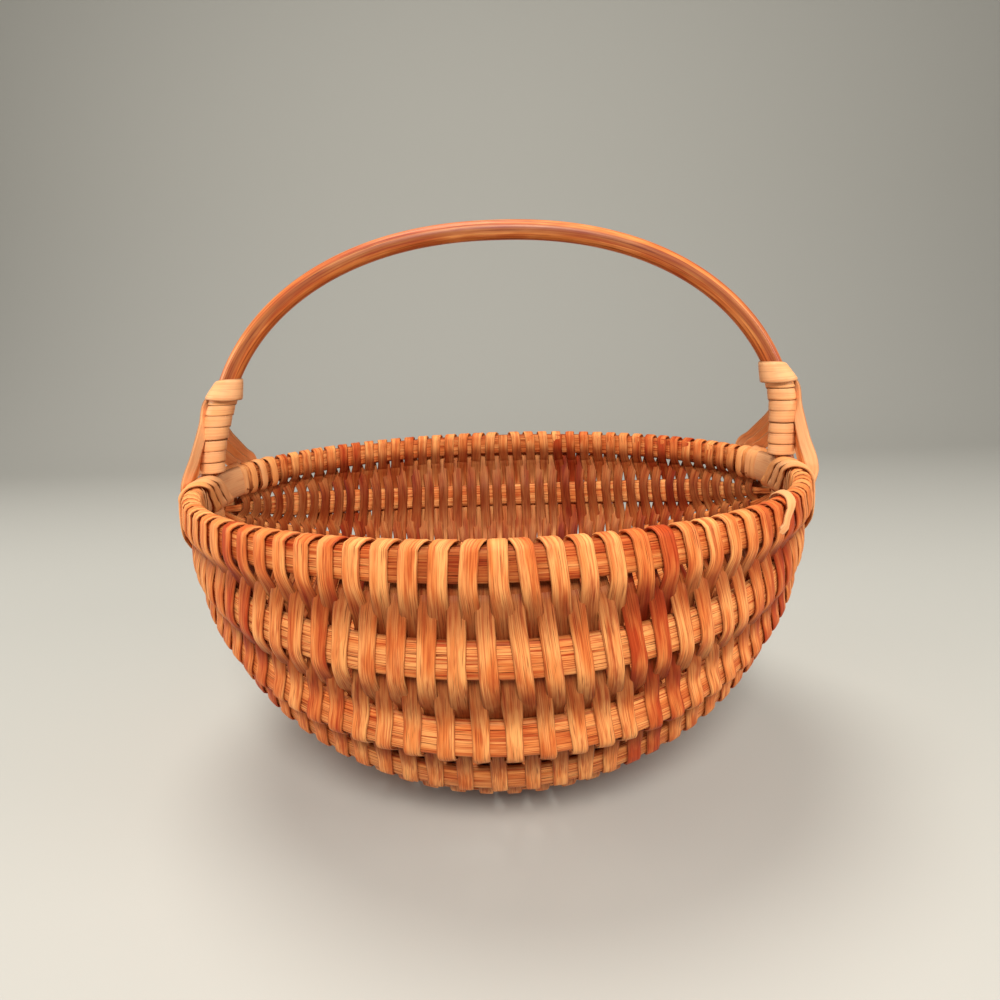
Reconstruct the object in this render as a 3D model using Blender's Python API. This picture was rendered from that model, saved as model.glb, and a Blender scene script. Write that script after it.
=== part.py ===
"""Ribbed bow-handled basket of stained rattan.

A level rim hoop and a bow of round rod cross at two ears. Eleven flat oval ribs run from ear to ear under
the rim, long splints are woven round them, one unbroken zigzag after another, and wound splint binds each
ear.

Metres, +Z up. +X runs from ear to ear, the front is at -Y, and the origin is on the surface that the basket
stands on, under the middle of the bowl.
"""

from math import atan2, cos, hypot, pi, radians, sin, sqrt, tan

import bmesh
import bpy
from mathutils import Vector

# Gap that every two pieces keep where they touch on the real basket
CLEAR = 0.0003

# Bowl, on the centre line of its rim hoop and ribs
BOWL_RADIUS = 0.1342
BOWL_DEPTH = 0.1345
FLAT_DEPTH = 0.1271
FLAT_BLEND = 0.003
FAN_DROP = 0.009

# Rim hoop, a flat oval rod standing on edge
RIM_HEIGHT = 0.0122
RIM_THICK = 0.005
RIM_SHOULDER = 0.0038
RIM_STEPS = 64

# Ribs, flat oval rod that tapers to its tips
RIB_WIDTH = 0.012
RIB_THICK = 0.004
RIB_TIP_WIDTH = 0.0024
RIB_TIP_THICK = 0.0016
RIB_FLAT_SHARE = 0.2
RIB_TAPER_SHARE = 0.45
RIB_THIN_SHARE = 0.26
RIB_ANGLES = (14, 30, 45, 60, 75)
RIB_STEPS = 24
RIB_END_LATITUDE = 78.6
KEEL_END_LATITUDE = 84.6

# Handle bow, round rod whose ends are cut to flat tongues outside the rim
BOW_RISE = 0.107
BOW_SQUARENESS = 2.2
BOW_ROD = 0.0086
BOW_LEAN = 0.0035
BOW_LEAN_RISE = 0.040
BOW_STEPS = 30
BOW_FOOT = 0.0050
TONGUE_THICK = 0.0038
TONGUE_TIP_THICK = 0.002
TONGUE_TIP_WIDTH = 0.006
TONGUE_DROP = 0.022
ROD_SIDES = 8

# Woven splints, flat strip
SPLINT_WIDTH = 0.004
SPLINT_THICK = 0.001
SPLINT_ROOM = 0.0004
BEARING = 0.005
PASS_SPACING = 0.0045
EAR_ARC = 0.0305
WEAVER_PASSES = 4
SPLICE_SHARE = 0.15
LIFT_ROUNDS = 6

# Lashing at the ears, the same strip wound close
LASHING_WIDTH = 0.0044
LASHING_GAP = 0.0006
POST_GAP = 0.0012
POST_TURNS = 6
POST_SIDES = 8
COLLAR_WIDTH = 0.0092
KEEL_WRAP_START = 0.0105
KEEL_WRAP_THICK = 0.0104
KEEL_WRAP_WIDTH = 0.012
KEEL_WRAP_TURNS = 2
WEB_WIDTH = 0.006
WEB_GAP = 0.0007
WEB_TOP = 0.032
WEB_REACH = 0.027
WEB_DROP = 0.0295
WEB_BULGE = 0.0136
WEB_STANDOFF = 0.003
WEB_CORNERS = 12

# Finishes: colour, roughness
RIM_FINISH = ((0.62, 0.25, 0.06, 1.0), 0.5)
RIB_FINISH = ((0.68, 0.30, 0.08, 1.0), 0.5)
BOW_FINISH = ((0.50, 0.16, 0.04, 1.0), 0.35)
SPLINT_FINISHES = (((0.72, 0.34, 0.11, 1.0), 0.55), ((0.60, 0.22, 0.06, 1.0), 0.55))
LASHING_FINISH = ((0.76, 0.40, 0.16, 1.0), 0.5)

SURFACE_STEP = 0.0001
OUT, IN = 1, -1
UP = Vector((0, 0, 1))
ALONG_X = Vector((1, 0, 0))
ALONG_Y = Vector((0, 1, 0))


def clear_scene():
    for item in list(bpy.data.objects):
        bpy.data.objects.remove(item)


def make_material(name, finish):
    colour, roughness = finish
    material = bpy.data.materials.new(name)
    material.use_nodes = True
    shader = material.node_tree.nodes["Principled BSDF"]
    shader.inputs["Base Color"].default_value = colour
    shader.inputs["Roughness"].default_value = roughness
    shader.inputs["Metallic"].default_value = 0.0
    material.diffuse_color = colour
    return material


def loft(name, rings, material, closed=False):
    """One closed body through rings of points; a closed loft joins its last ring to its first."""
    bm = bmesh.new()
    layers = [[bm.verts.new(point) for point in ring] for ring in rings]
    pairs = list(zip(layers, layers[1:]))
    if closed:
        pairs.append((layers[-1], layers[0]))
    for lower, upper in pairs:
        for i in range(len(lower)):
            j = (i + 1) % len(lower)
            bm.faces.new((lower[i], lower[j], upper[j], upper[i]))
    if not closed:
        bm.faces.new(layers[0])
        bm.faces.new(layers[-1])
    bmesh.ops.recalc_face_normals(bm, faces=bm.faces)
    mesh = bpy.data.meshes.new(name)
    bm.to_mesh(mesh)
    bm.free()
    mesh.materials.append(material)
    piece = bpy.data.objects.new(name, mesh)
    bpy.context.scene.collection.objects.link(piece)
    return piece


def strip_section(centre, across, normal, width):
    """Four corners of a flat strip; across and normal may be longer than one where the strip is mitred."""
    side = across * width / 2
    face = normal * SPLINT_THICK / 2
    return [centre - side - face, centre + side - face, centre + side + face, centre - side + face]


def smooth_min(value, limit, blend):
    return min(value, limit) - max(blend - abs(value - limit), 0) ** 2 / (4 * blend)


def smooth_step(value):
    value = min(max(value, 0), 1)
    return value * value * (3 - 2 * value)


def fan_reach(latitude, fan):
    """How far the bowl's round surface lies from the line that the ribs fan out from."""
    wide = BOWL_RADIUS * cos(latitude)
    deep = BOWL_DEPTH * cos(latitude)
    square = (cos(fan) / wide) ** 2 + (sin(fan) / deep) ** 2
    linear = FAN_DROP * sin(fan) / deep**2
    rest = (FAN_DROP / deep) ** 2 - 1
    return (sqrt(linear**2 - square * rest) - linear) / square


def round_depth(latitude, fan):
    """Depth below the rim of the round bowl, before its bottom is pressed level."""
    return FAN_DROP + fan_reach(latitude, fan) * sin(fan)


def bowl_point(latitude, fan):
    """Centre surface of the ribs: latitude from the middle to an ear, fan from the front rim to the back."""
    level = smooth_min(round_depth(latitude, fan), FLAT_DEPTH, FLAT_BLEND)
    return Vector((BOWL_RADIUS * sin(latitude), -fan_reach(latitude, fan) * cos(fan), RIM_Z - level))


def bowl_axes(latitude, fan):
    """Directions at a bowl point: along its rib, across it towards the back, and out of the bowl."""
    along = bowl_point(latitude + SURFACE_STEP, fan) - bowl_point(latitude - SURFACE_STEP, fan)
    across = bowl_point(latitude, fan + SURFACE_STEP) - bowl_point(latitude, fan - SURFACE_STEP)
    along.normalize()
    across.normalize()
    out = across.cross(along).normalized()
    return along, across, out


def round_out(latitude, fan):
    """Direction out of the round bowl, which turns evenly from one pass to the next."""
    point = Vector((BOWL_RADIUS * sin(latitude), -fan_reach(latitude, fan) * cos(fan), 0))
    slope = -round_depth(latitude, fan) / BOWL_DEPTH**2
    return Vector((point.x / BOWL_RADIUS**2, point.y / BOWL_RADIUS**2, slope)).normalized()


def rib_fan(angle):
    """Fan of a rib that lies at an angle below the rim in the middle of the basket."""
    turn = radians(angle)
    return atan2(BOWL_DEPTH * sin(turn) - FAN_DROP, BOWL_RADIUS * cos(turn))


FRONT_FANS = [rib_fan(angle) for angle in RIB_ANGLES]
KEEL_FAN = pi / 2
RIB_FANS = FRONT_FANS + [KEEL_FAN] + [pi - fan for fan in reversed(FRONT_FANS)]
RIB_NAMES = (
    [f"rib_front_{i + 1}" for i in range(len(RIB_ANGLES))]
    + ["rib_keel"]
    + [f"rib_back_{len(RIB_ANGLES) - i}" for i in range(len(RIB_ANGLES))]
)


def rib_spacing(latitude):
    """Distance between the keel and the rib beside it."""
    return fan_reach(latitude, KEEL_FAN) * (KEEL_FAN - FRONT_FANS[-1])


def rib_size(latitude):
    """Width and thickness of a rib, less where the ribs close up towards an ear."""
    spacing = rib_spacing(latitude)
    width = max(RIB_TIP_WIDTH, min(RIB_WIDTH, RIB_TAPER_SHARE * spacing))
    thick = max(RIB_TIP_THICK, min(RIB_THICK, RIB_THIN_SHARE * spacing))
    return width, thick


def crest_lift(latitude):
    """Height of a splint's centre over a rib's centre that lets its straight runs clear the shoulders."""
    spacing = rib_spacing(latitude)
    width, thick = rib_size(latitude)
    shoulder = width * RIB_FLAT_SHARE
    room = SPLINT_ROOM + SPLINT_THICK / 2
    bend = spacing * tan((KEEL_FAN - FRONT_FANS[-1]) / 2)
    lift = thick / 2 + room
    for _ in range(LIFT_ROUNDS):
        run = hypot(spacing, 2 * lift + bend)
        lift = (room * run + spacing * thick / 2 + bend * shoulder) / (spacing - 2 * shoulder)
    return lift


RIM_Z = FLAT_DEPTH + crest_lift(0) + SPLINT_THICK / 2
BOW_FOOT_Z = RIM_Z + RIM_HEIGHT / 2 + CLEAR

# The weave fills the rim but for an arc at each ear, with an even number of passes on each side of its middle
MIDDLE_PASS = 2 * int((BOWL_RADIUS * pi / 2 - EAR_ARC) / (2 * PASS_SPACING))
PASSES = 2 * MIDDLE_PASS + 1

# How far the straight facets of a rib and of the rim hoop fall inside their true curves
RIB_SAG = BOWL_RADIUS * (1 - cos(radians(RIB_END_LATITUDE) / RIB_STEPS))
RIM_SAG = BOWL_RADIUS * (1 - cos(pi / RIM_STEPS))

# The line that a splint's centre keeps round the rim hoop's six-sided section
RIM_ROOF = (RIM_HEIGHT / 2 - RIM_SHOULDER) / (RIM_THICK / 2)
RIM_ROOM = CLEAR + SPLINT_THICK / 2 + RIM_SAG
RIM_SIDE = RIM_THICK / 2 + RIM_ROOM
RIM_PEAK = RIM_HEIGHT / 2 + RIM_ROOM * hypot(1, RIM_ROOF)
RIM_EAVE = RIM_PEAK - RIM_SIDE * RIM_ROOF


def make_rim(material):
    half = RIM_THICK / 2
    section = [
        (half, RIM_SHOULDER),
        (0, RIM_HEIGHT / 2),
        (-half, RIM_SHOULDER),
        (-half, -RIM_SHOULDER),
        (0, -RIM_HEIGHT / 2),
        (half, -RIM_SHOULDER),
    ]
    rings = []
    for step in range(RIM_STEPS):
        turn = 2 * pi * step / RIM_STEPS
        outward = Vector((cos(turn), sin(turn), 0))
        rings.append([outward * (BOWL_RADIUS + u) + UP * (RIM_Z + v) for u, v in section])
    loft("rim_hoop", rings, material, closed=True)


def make_rib(name, fan, material):
    end = radians(KEEL_END_LATITUDE if fan == KEEL_FAN else RIB_END_LATITUDE)
    rings = []
    for step in range(RIB_STEPS + 1):
        latitude = end * (2 * step / RIB_STEPS - 1)
        width, thick = rib_size(latitude)
        flat = width * RIB_FLAT_SHARE
        centre = bowl_point(latitude, fan)
        _, across, out = bowl_axes(latitude, fan)
        section = [
            (width / 2, 0),
            (flat, thick / 2),
            (-flat, thick / 2),
            (-width / 2, 0),
            (-flat, -thick / 2),
            (flat, -thick / 2),
        ]
        rings.append([centre + across * u + out * v for u, v in section])
    loft(name, rings, material)


def bow_lean(rise):
    return BOW_LEAN * smooth_step(rise / BOW_LEAN_RISE)


def post_x(side, rise):
    """Centre of the bow's rod at a height above its foot, on one side."""
    share = (min(rise, BOW_RISE) / BOW_RISE) ** BOW_SQUARENESS
    return side * BOWL_RADIUS * (1 - share) ** (1 / BOW_SQUARENESS) + bow_lean(rise)


def keel_x(depth):
    """Centre of the keel near an ear, at a depth below the rim's centre."""
    return BOWL_RADIUS * sqrt(1 - (depth / BOWL_DEPTH) ** 2)


TONGUE_X = BOWL_RADIUS + RIM_THICK / 2 + CLEAR + TONGUE_THICK / 2
TONGUE_TIP_X = keel_x(TONGUE_DROP) + (RIB_TIP_THICK + TONGUE_TIP_THICK) / 2 + CLEAR


def rod_ring(centre, u_axis, half_u, half_v):
    """One ring of the rod: an octagon, squashed along u_axis where the rod is cut to a tongue."""
    ring = []
    for step in range(ROD_SIDES):
        turn = 2 * pi * step / ROD_SIDES
        ring.append(centre + u_axis * half_u * cos(turn) + ALONG_Y * half_v * sin(turn))
    return ring


def tongue_rings(side):
    """Rings of one tongue, from its tip up to the rim's shoulder."""
    outward = Vector((side, 0, 0))
    half_rod = BOW_ROD / 2
    tip = Vector((side * TONGUE_TIP_X, 0, RIM_Z - TONGUE_DROP))
    low = Vector((side * TONGUE_X, 0, RIM_Z - RIM_HEIGHT / 2))
    high = Vector((side * TONGUE_X, 0, RIM_Z + RIM_SHOULDER + CLEAR))
    return [
        rod_ring(tip, outward, TONGUE_TIP_THICK / 2, TONGUE_TIP_WIDTH / 2),
        rod_ring(low, outward, TONGUE_THICK / 2, half_rod),
        rod_ring(high, outward, TONGUE_THICK / 2, half_rod),
    ]


def arch_point(turn):
    """Centre of the bow's rod; turn goes from 0 at the right foot to pi at the left one."""
    power = 2 / BOW_SQUARENESS
    rise = BOW_RISE * sin(turn) ** power
    reach = abs(cos(turn)) ** power
    side = 1 if cos(turn) > 0 else -1
    return Vector((side * BOWL_RADIUS * reach + bow_lean(rise), 0, BOW_FOOT_Z + rise))


def make_bow(material):
    """Arch of round rod with a tongue at each end; every ring starts on its outer side."""
    half_rod = BOW_ROD / 2
    foot_turn = (BOW_FOOT / BOW_RISE) ** (BOW_SQUARENESS / 2)
    rings = tongue_rings(1)
    for step in range(BOW_STEPS + 1):
        turn = foot_turn + (pi - 2 * foot_turn) * step / BOW_STEPS
        ahead = arch_point(turn + SURFACE_STEP) - arch_point(turn - SURFACE_STEP)
        outward = ALONG_Y.cross(ahead).normalized()
        rings.append(rod_ring(arch_point(turn), outward, half_rod, half_rod))
    rings += reversed(tongue_rings(-1))
    loft("handle_bow", rings, material)


def rim_side(latitude, face):
    """Point on the rim's centre line, at the front (face -1) or the back (face 1), and the way outwards."""
    outward = Vector((sin(latitude), face * cos(latitude), 0))
    return outward * BOWL_RADIUS + UP * RIM_Z, outward


def wrap_sections(face, from_latitude, to_latitude):
    """A splint over the rim, from the outside at one latitude to the inside at the next."""
    middle = (from_latitude + to_latitude) / 2
    stations = [
        (from_latitude, RIM_SIDE, -RIM_EAVE, 0),
        (from_latitude, RIM_SIDE, RIM_EAVE, 1),
        (middle, 0, RIM_PEAK, 1),
        (to_latitude, -RIM_SIDE, RIM_EAVE, 1),
        (to_latitude, -RIM_SIDE, -RIM_EAVE, 0),
    ]
    sections = []
    for latitude, beyond, above, tilt in stations:
        centre, outward = rim_side(latitude, face)
        along = Vector((cos(latitude), -face * sin(latitude), 0))
        normal = (outward * beyond / RIM_SIDE + UP * tilt).normalized()
        point = centre + outward * beyond + UP * above
        sections.append((point, along, normal))
    return sections


def crest_sections(latitude, index, side):
    """A splint over one rib, on its outside or inside; two sections where it bears on the floor."""
    fan = RIB_FANS[index]
    along, _, out = bowl_axes(latitude, fan)
    centre = bowl_point(latitude, fan)
    lift = crest_lift(latitude)
    if side == IN:
        return [(centre - round_out(latitude, fan) * (lift + RIB_SAG), along, -out)]
    crest = centre + round_out(latitude, fan) * lift
    if round_depth(latitude, fan) < FLAT_DEPTH + FLAT_BLEND / 2:
        return [(crest, along, out)]
    crest.z = SPLINT_THICK / 2
    half = ALONG_Y * BEARING / 2
    return [(crest - half, ALONG_X, -UP), (crest + half, ALONG_X, -UP)]


def pass_latitude(number):
    return (number - MIDDLE_PASS) * PASS_SPACING / BOWL_RADIUS


def pass_sections(number):
    """One pass from rim to rim: even ones run front to back and lie inside the first rib, odd ones return."""
    latitude = pass_latitude(number)
    outside = number % 2 == 0
    indexes = range(len(RIB_FANS))
    sections = []
    for index in indexes if outside else reversed(indexes):
        side = OUT if (index % 2 == 1) == outside else IN
        crest = crest_sections(latitude, index, side)
        sections += crest if outside else reversed(crest)
    return sections


def turned(sections):
    """The same strip with every face direction on one side of it, so that it never flips over."""
    result = []
    for place, (centre, along, normal) in enumerate(sections):
        before = sections[max(place - 1, 0)][0]
        after = sections[min(place + 1, len(sections) - 1)][0]
        if (after - before).cross(along).dot(normal) < 0:
            normal = -normal
        result.append((centre, along, normal))
    return result


def weaver_sections(first, last):
    """An unbroken zigzag of passes. It starts under the rim's inside, or over the rim on the first pass."""
    step = pass_latitude(1) - pass_latitude(0)
    sections = []
    if first == 0:
        latitude = pass_latitude(0)
        sections += reversed(wrap_sections(-1, latitude, latitude))
    else:
        inner = wrap_sections(1, pass_latitude(first) - step, pass_latitude(first))[-1]
        crest = pass_sections(first)[0]
        start = inner[0].lerp(crest[0], SPLICE_SHARE)
        sections.append((start, inner[1], inner[2]))
    for number in range(first, last + 1):
        latitude = pass_latitude(number)
        following = min(number + 1, PASSES - 1)
        sections += pass_sections(number)
        if number % 2 == 0:
            sections += wrap_sections(1, latitude, pass_latitude(following))
        else:
            sections += reversed(wrap_sections(-1, pass_latitude(following), latitude))
    return sections


def make_weavers(materials):
    """Long splints of a few passes each; the first takes one more, so that each ends inside the rim."""
    first = 0
    number = 1
    while first < PASSES:
        last = first + WEAVER_PASSES - (0 if first == 0 else 1)
        sections = turned(weaver_sections(first, min(last, PASSES - 1)))
        rings = [strip_section(centre, along, normal, SPLINT_WIDTH) for centre, along, normal in sections]
        loft(f"weaver_{number:02d}", rings, materials[number % len(materials)])
        first = last + 1
        number += 1


def least_gap(rings, turn_steps):
    """Least distance between the edges of a winding's neighbouring turns, on its section points."""
    least = None
    for i, ring in enumerate(rings[:-turn_steps]):
        for other in rings[i + turn_steps - 1 : i + turn_steps + 2]:
            for point in ring:
                gap = min((point - corner).length for corner in other)
                least = gap if least is None else min(least, gap)
    return least


def winding(name, station, outline, start, widths, gap, material):
    """One strip wound round a rod. station gives the rod's centre and axes at a distance along it."""
    steps = len(outline)
    places = []
    rings = []
    for i, width in enumerate(widths):
        if i < steps:
            place = start + (width + gap) * i / steps
        else:
            place = places[i - steps] + (widths[i - steps] + width) / 2 + gap
        places.append(place)
        centre, u_axis, v_axis, axis = station(place)
        u, v = outline[i % steps]
        spoke = u_axis * u + v_axis * v
        u_next, v_next = outline[(i + 1) % steps]
        u_last, v_last = outline[(i - 1) % steps]
        chord = u_axis * (u_next - u_last) + v_axis * (v_next - v_last)
        normal = chord.cross(axis).normalized()
        rings.append(strip_section(centre + spoke, axis, normal, width))
    print(f"{name}: least gap between turns {least_gap(rings, steps) * 1000:.2f} mm")
    loft(name, rings, material)


def round_outline(half_u, half_v):
    """Eight-sided line round a rod of oval section."""
    turns = [2 * pi * step / POST_SIDES for step in range(POST_SIDES)]
    return [(half_u * cos(turn), half_v * sin(turn)) for turn in turns]


def rim_outline():
    return [
        (RIM_SIDE, RIM_EAVE),
        (0, RIM_PEAK),
        (-RIM_SIDE, RIM_EAVE),
        (-RIM_SIDE, -RIM_EAVE),
        (0, -RIM_PEAK),
        (RIM_SIDE, -RIM_EAVE),
    ]


POST_WRAP_RADIUS = (BOW_ROD / 2 + CLEAR + SPLINT_THICK / 2) / cos(pi / POST_SIDES)


def make_post_wrap(name, side, material):
    """Close turns up the foot of the bow, ending in a wide collar."""

    def station(rise):
        here = Vector((post_x(side, rise), 0, BOW_FOOT_Z + rise))
        ahead = Vector((post_x(side, rise + SURFACE_STEP), 0, here.z + SURFACE_STEP))
        axis = (ahead - here).normalized()
        return here, ALONG_Y.cross(axis) * side, ALONG_Y, axis

    narrow = [LASHING_WIDTH] * (POST_TURNS * POST_SIDES)
    ramp = [LASHING_WIDTH + (COLLAR_WIDTH - LASHING_WIDTH) * i / POST_SIDES for i in range(1, POST_SIDES)]
    wide = [COLLAR_WIDTH] * (POST_SIDES + 1)
    outline = round_outline(POST_WRAP_RADIUS, POST_WRAP_RADIUS)
    start = BOW_FOOT + LASHING_WIDTH / 2 + CLEAR
    winding(name, station, outline, start, narrow + ramp + wide, POST_GAP, material)


def make_rim_wrap(name, side, face, material):
    """Close turns along the rim, from beside the tongue to the first woven splint."""

    def station(arc):
        turn = arc / BOWL_RADIUS
        outward = Vector((side * cos(turn), face * sin(turn), 0))
        axis = Vector((-side * sin(turn), face * cos(turn), 0))
        return outward * BOWL_RADIUS + UP * RIM_Z, outward, UP, axis

    start = BOW_ROD / 2 + 2 * CLEAR + LASHING_WIDTH / 2
    first_splint = BOWL_RADIUS * (pi / 2 - pass_latitude(PASSES - 1)) - SPLINT_WIDTH / 2
    end = first_splint - 2 * CLEAR - LASHING_WIDTH / 2
    outline = rim_outline()
    count = int((end - start) / (LASHING_WIDTH + LASHING_GAP) * len(outline))
    winding(name, station, outline, start, [LASHING_WIDTH] * count, LASHING_GAP, material)


def make_keel_wrap(name, side, material):
    """Close turns round the tongue and the keel's tip below the rim."""

    def station(depth):
        share = (depth - RIM_HEIGHT / 2) / (TONGUE_DROP - RIM_HEIGHT / 2)
        tongue_outer = TONGUE_X + TONGUE_THICK / 2 + (TONGUE_TIP_X - TONGUE_X) * share
        keel_inner = keel_x(depth) - RIB_TIP_THICK / 2
        centre = Vector((side * (tongue_outer + keel_inner) / 2, 0, RIM_Z - depth))
        return centre, Vector((side, 0, 0)), ALONG_Y, -UP

    outline = round_outline(KEEL_WRAP_THICK / 2, KEEL_WRAP_WIDTH / 2)
    widths = [LASHING_WIDTH] * (KEEL_WRAP_TURNS * POST_SIDES)
    winding(name, station, outline, KEEL_WRAP_START, widths, LASHING_GAP, material)


def web_corner(side, number, spread):
    """Corner of the ear's diamond: post, front rim, keel and back rim in turn, over the wound post."""
    middle = Vector((side * (BOWL_RADIUS + WEB_BULGE), 0, RIM_Z))
    room = POST_WRAP_RADIUS + SPLINT_THICK + CLEAR
    rim_reach = BOWL_RADIUS + RIM_SIDE + SPLINT_THICK + 3 * CLEAR
    kind = number % 4
    if kind == 0:
        outer = Vector((post_x(side, WEB_TOP) + side * (room + WEB_STANDOFF), 0, BOW_FOOT_Z + WEB_TOP))
    elif kind == 2:
        outer = Vector((side * (TONGUE_X + WEB_STANDOFF), 0, RIM_Z - WEB_DROP))
    else:
        face = -1 if kind == 1 else 1
        outer = Vector((side * sqrt(rim_reach**2 - WEB_REACH**2), face * WEB_REACH, RIM_Z))
    corner = middle.lerp(outer, spread)
    if kind == 0 and corner.z > BOW_FOOT_Z:
        post = side * post_x(side, corner.z - BOW_FOOT_Z) + room
        corner.x = side * max(side * corner.x, post)
    return corner


def make_web(name, side, material):
    """Diamond spiral of one strip over the outside of the ear, from its rim inwards."""
    slant = hypot(WEB_TOP + RIM_HEIGHT / 2, WEB_REACH)
    breadth = (WEB_TOP + RIM_HEIGHT / 2) * WEB_REACH / slant
    step = (WEB_WIDTH + WEB_GAP) / breadth / 4
    corners = [web_corner(side, i, 1 - step * i) for i in range(WEB_CORNERS)]
    rings = []
    for i, corner in enumerate(corners):
        coming = corner - corners[i - 1] if i > 0 else corners[1] - corner
        going = corners[i + 1] - corner if i < len(corners) - 1 else coming
        coming.normalize()
        going.normalize()
        face = Vector((side, 0, 0))
        across = (face.cross(coming).normalized() + face.cross(going).normalized()).normalized()
        stretch = 1 / across.dot(face.cross(coming).normalized())
        normal = (coming + going).cross(across).normalized()
        if normal.x * side < 0:
            normal.negate()
        rings.append(strip_section(corner, across * stretch, normal, WEB_WIDTH))
    print(f"{name}: least gap between rounds {least_gap(rings, 4) * 1000:.2f} mm")
    loft(name, rings, material)


def make_ear(prefix, side, material):
    make_post_wrap(f"{prefix}_post_wrap", side, material)
    make_rim_wrap(f"{prefix}_front_rim_wrap", side, -1, material)
    make_rim_wrap(f"{prefix}_back_rim_wrap", side, 1, material)
    make_keel_wrap(f"{prefix}_keel_wrap", side, material)
    make_web(f"{prefix}_ear_web", side, material)


def main():
    clear_scene()
    make_rim(make_material("rim rod", RIM_FINISH))
    make_bow(make_material("bow rod", BOW_FINISH))
    rib_material = make_material("rib rod", RIB_FINISH)
    for name, fan in zip(RIB_NAMES, RIB_FANS):
        make_rib(name, fan, rib_material)
    make_weavers([make_material(f"splint {i + 1}", finish) for i, finish in enumerate(SPLINT_FINISHES)])
    lashing = make_material("lashing splint", LASHING_FINISH)
    make_ear("left", -1, lashing)
    make_ear("right", 1, lashing)


main()
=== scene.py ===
"""Looks of a ribbed rattan basket with a bow handle.

Laid out as a Blender add-on and run as a script. Metres, +Z up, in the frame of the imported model: +X runs
from ear to ear, the front is at -Y, and the floor is at zero.
"""

import random
from math import atan2, cos, pi, radians, sin, sqrt, tan, tanh

import bpy
from mathutils import Matrix, Vector


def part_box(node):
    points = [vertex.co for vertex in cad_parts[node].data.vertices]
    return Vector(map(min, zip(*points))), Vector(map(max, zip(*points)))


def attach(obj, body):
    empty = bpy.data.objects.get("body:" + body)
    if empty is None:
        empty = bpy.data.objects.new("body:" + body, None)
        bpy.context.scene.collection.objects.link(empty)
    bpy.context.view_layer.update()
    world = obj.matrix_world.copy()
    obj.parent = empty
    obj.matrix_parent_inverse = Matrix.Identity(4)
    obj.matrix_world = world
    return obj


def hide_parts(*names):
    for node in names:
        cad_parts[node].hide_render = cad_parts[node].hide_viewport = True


bl_info = {
    "name": "Ribbed Basket",
    "version": (1, 0, 0),
    "blender": (4, 5, 0),
    "location": "View3D > Sidebar > Basket",
    "description": "Rattan basket woven on flat ribs, with a bow handle lashed to its rim",
    "category": "Object",
}

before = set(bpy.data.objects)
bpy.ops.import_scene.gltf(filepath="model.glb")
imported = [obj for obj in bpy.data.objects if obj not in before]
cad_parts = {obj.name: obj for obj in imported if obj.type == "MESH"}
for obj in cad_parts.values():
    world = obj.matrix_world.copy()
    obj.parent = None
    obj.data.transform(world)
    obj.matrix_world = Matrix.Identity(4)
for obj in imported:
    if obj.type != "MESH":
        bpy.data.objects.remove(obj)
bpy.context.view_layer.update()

BODY = "root"
CLEAR = 0.0003
UP = Vector((0, 0, 1))
ALONG_Y = Vector((0, 1, 0))
OUT, IN = 1, -1
FRONT, BACK = -1, 1
LEFT, RIGHT = -1, 1

# Rim hoop, from the frame
RIM_LOW, RIM_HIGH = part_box("rim_hoop")
RIM_THICK = 0.005
RIM_HEIGHT = RIM_HIGH.z - RIM_LOW.z
RIM_Z = (RIM_HIGH.z + RIM_LOW.z) / 2
BOWL_RADIUS = (RIM_HIGH.x - RIM_LOW.x) / 2 - RIM_THICK / 2

# Bowl, on the centre line of its ribs
BOWL_DEPTH = 0.1345
FLAT_DEPTH = 0.1271
FLAT_BLEND = 0.003
FAN_DROP = 0.009
SURFACE_STEP = 0.0001
RIB_ANGLES = (14, 30, 45, 60, 75)
RIB_END_LATITUDE = 84.2
KEEL_END_LATITUDE = 84.6
RIB_TAPER_SHARE = 0.8
RIB_THIN_SHARE = 0.26
RIB_TIP_THICK = 0.0016

# Handle bow, from the frame
BOW_LOW, BOW_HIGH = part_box("handle_bow")
BOW_ROD = BOW_HIGH.y - BOW_LOW.y
BOW_FOOT_Z = RIM_HIGH.z + CLEAR
BOW_RISE = BOW_HIGH.z - BOW_ROD / 2 - BOW_FOOT_Z
BOW_SQUARENESS = 2.2
BOW_LEAN = 0.0035
BOW_LEAN_RISE = 0.040
TONGUE_TIP_Z = BOW_LOW.z

# Weave
MIDDLE_PASS = 40
PASSES = 2 * MIDDLE_PASS + 1
WEAVER_PASSES = 4
WEAVERS = 20


# Kinds of setting, each with its name, description and default


def length_property(name, description, default):
    return bpy.props.FloatProperty(name=name, description=description, default=default, unit="LENGTH")


def angle_property(name, description, degrees):
    return bpy.props.FloatProperty(
        name=name, description=description, default=radians(degrees), subtype="ANGLE"
    )


def count_property(name, description, default):
    return bpy.props.IntProperty(name=name, description=description, default=default)


def colour_property(name, description, default):
    """A colour as an sRGB hex value."""
    return bpy.props.StringProperty(name=name, description=description, default=default)


class BasketRods(bpy.types.PropertyGroup):
    """Sizes of the rods that the basket is woven on."""

    rib_width: length_property("Rib Width", "Width of the flat oval ribs", 0.0138)
    rib_thick: length_property("Rib Thickness", "Thickness of the flat oval ribs", 0.004)
    rib_tip_width: length_property("Rib Tip Width", "Width at a rib's tip", 0.0036)
    rib_tip_thick: length_property("Rib Tip Thickness", "Thickness at a rib's tip", RIB_TIP_THICK)
    step: length_property("Rod Step", "Distance between the rings of a rod", 0.0022)


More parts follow.
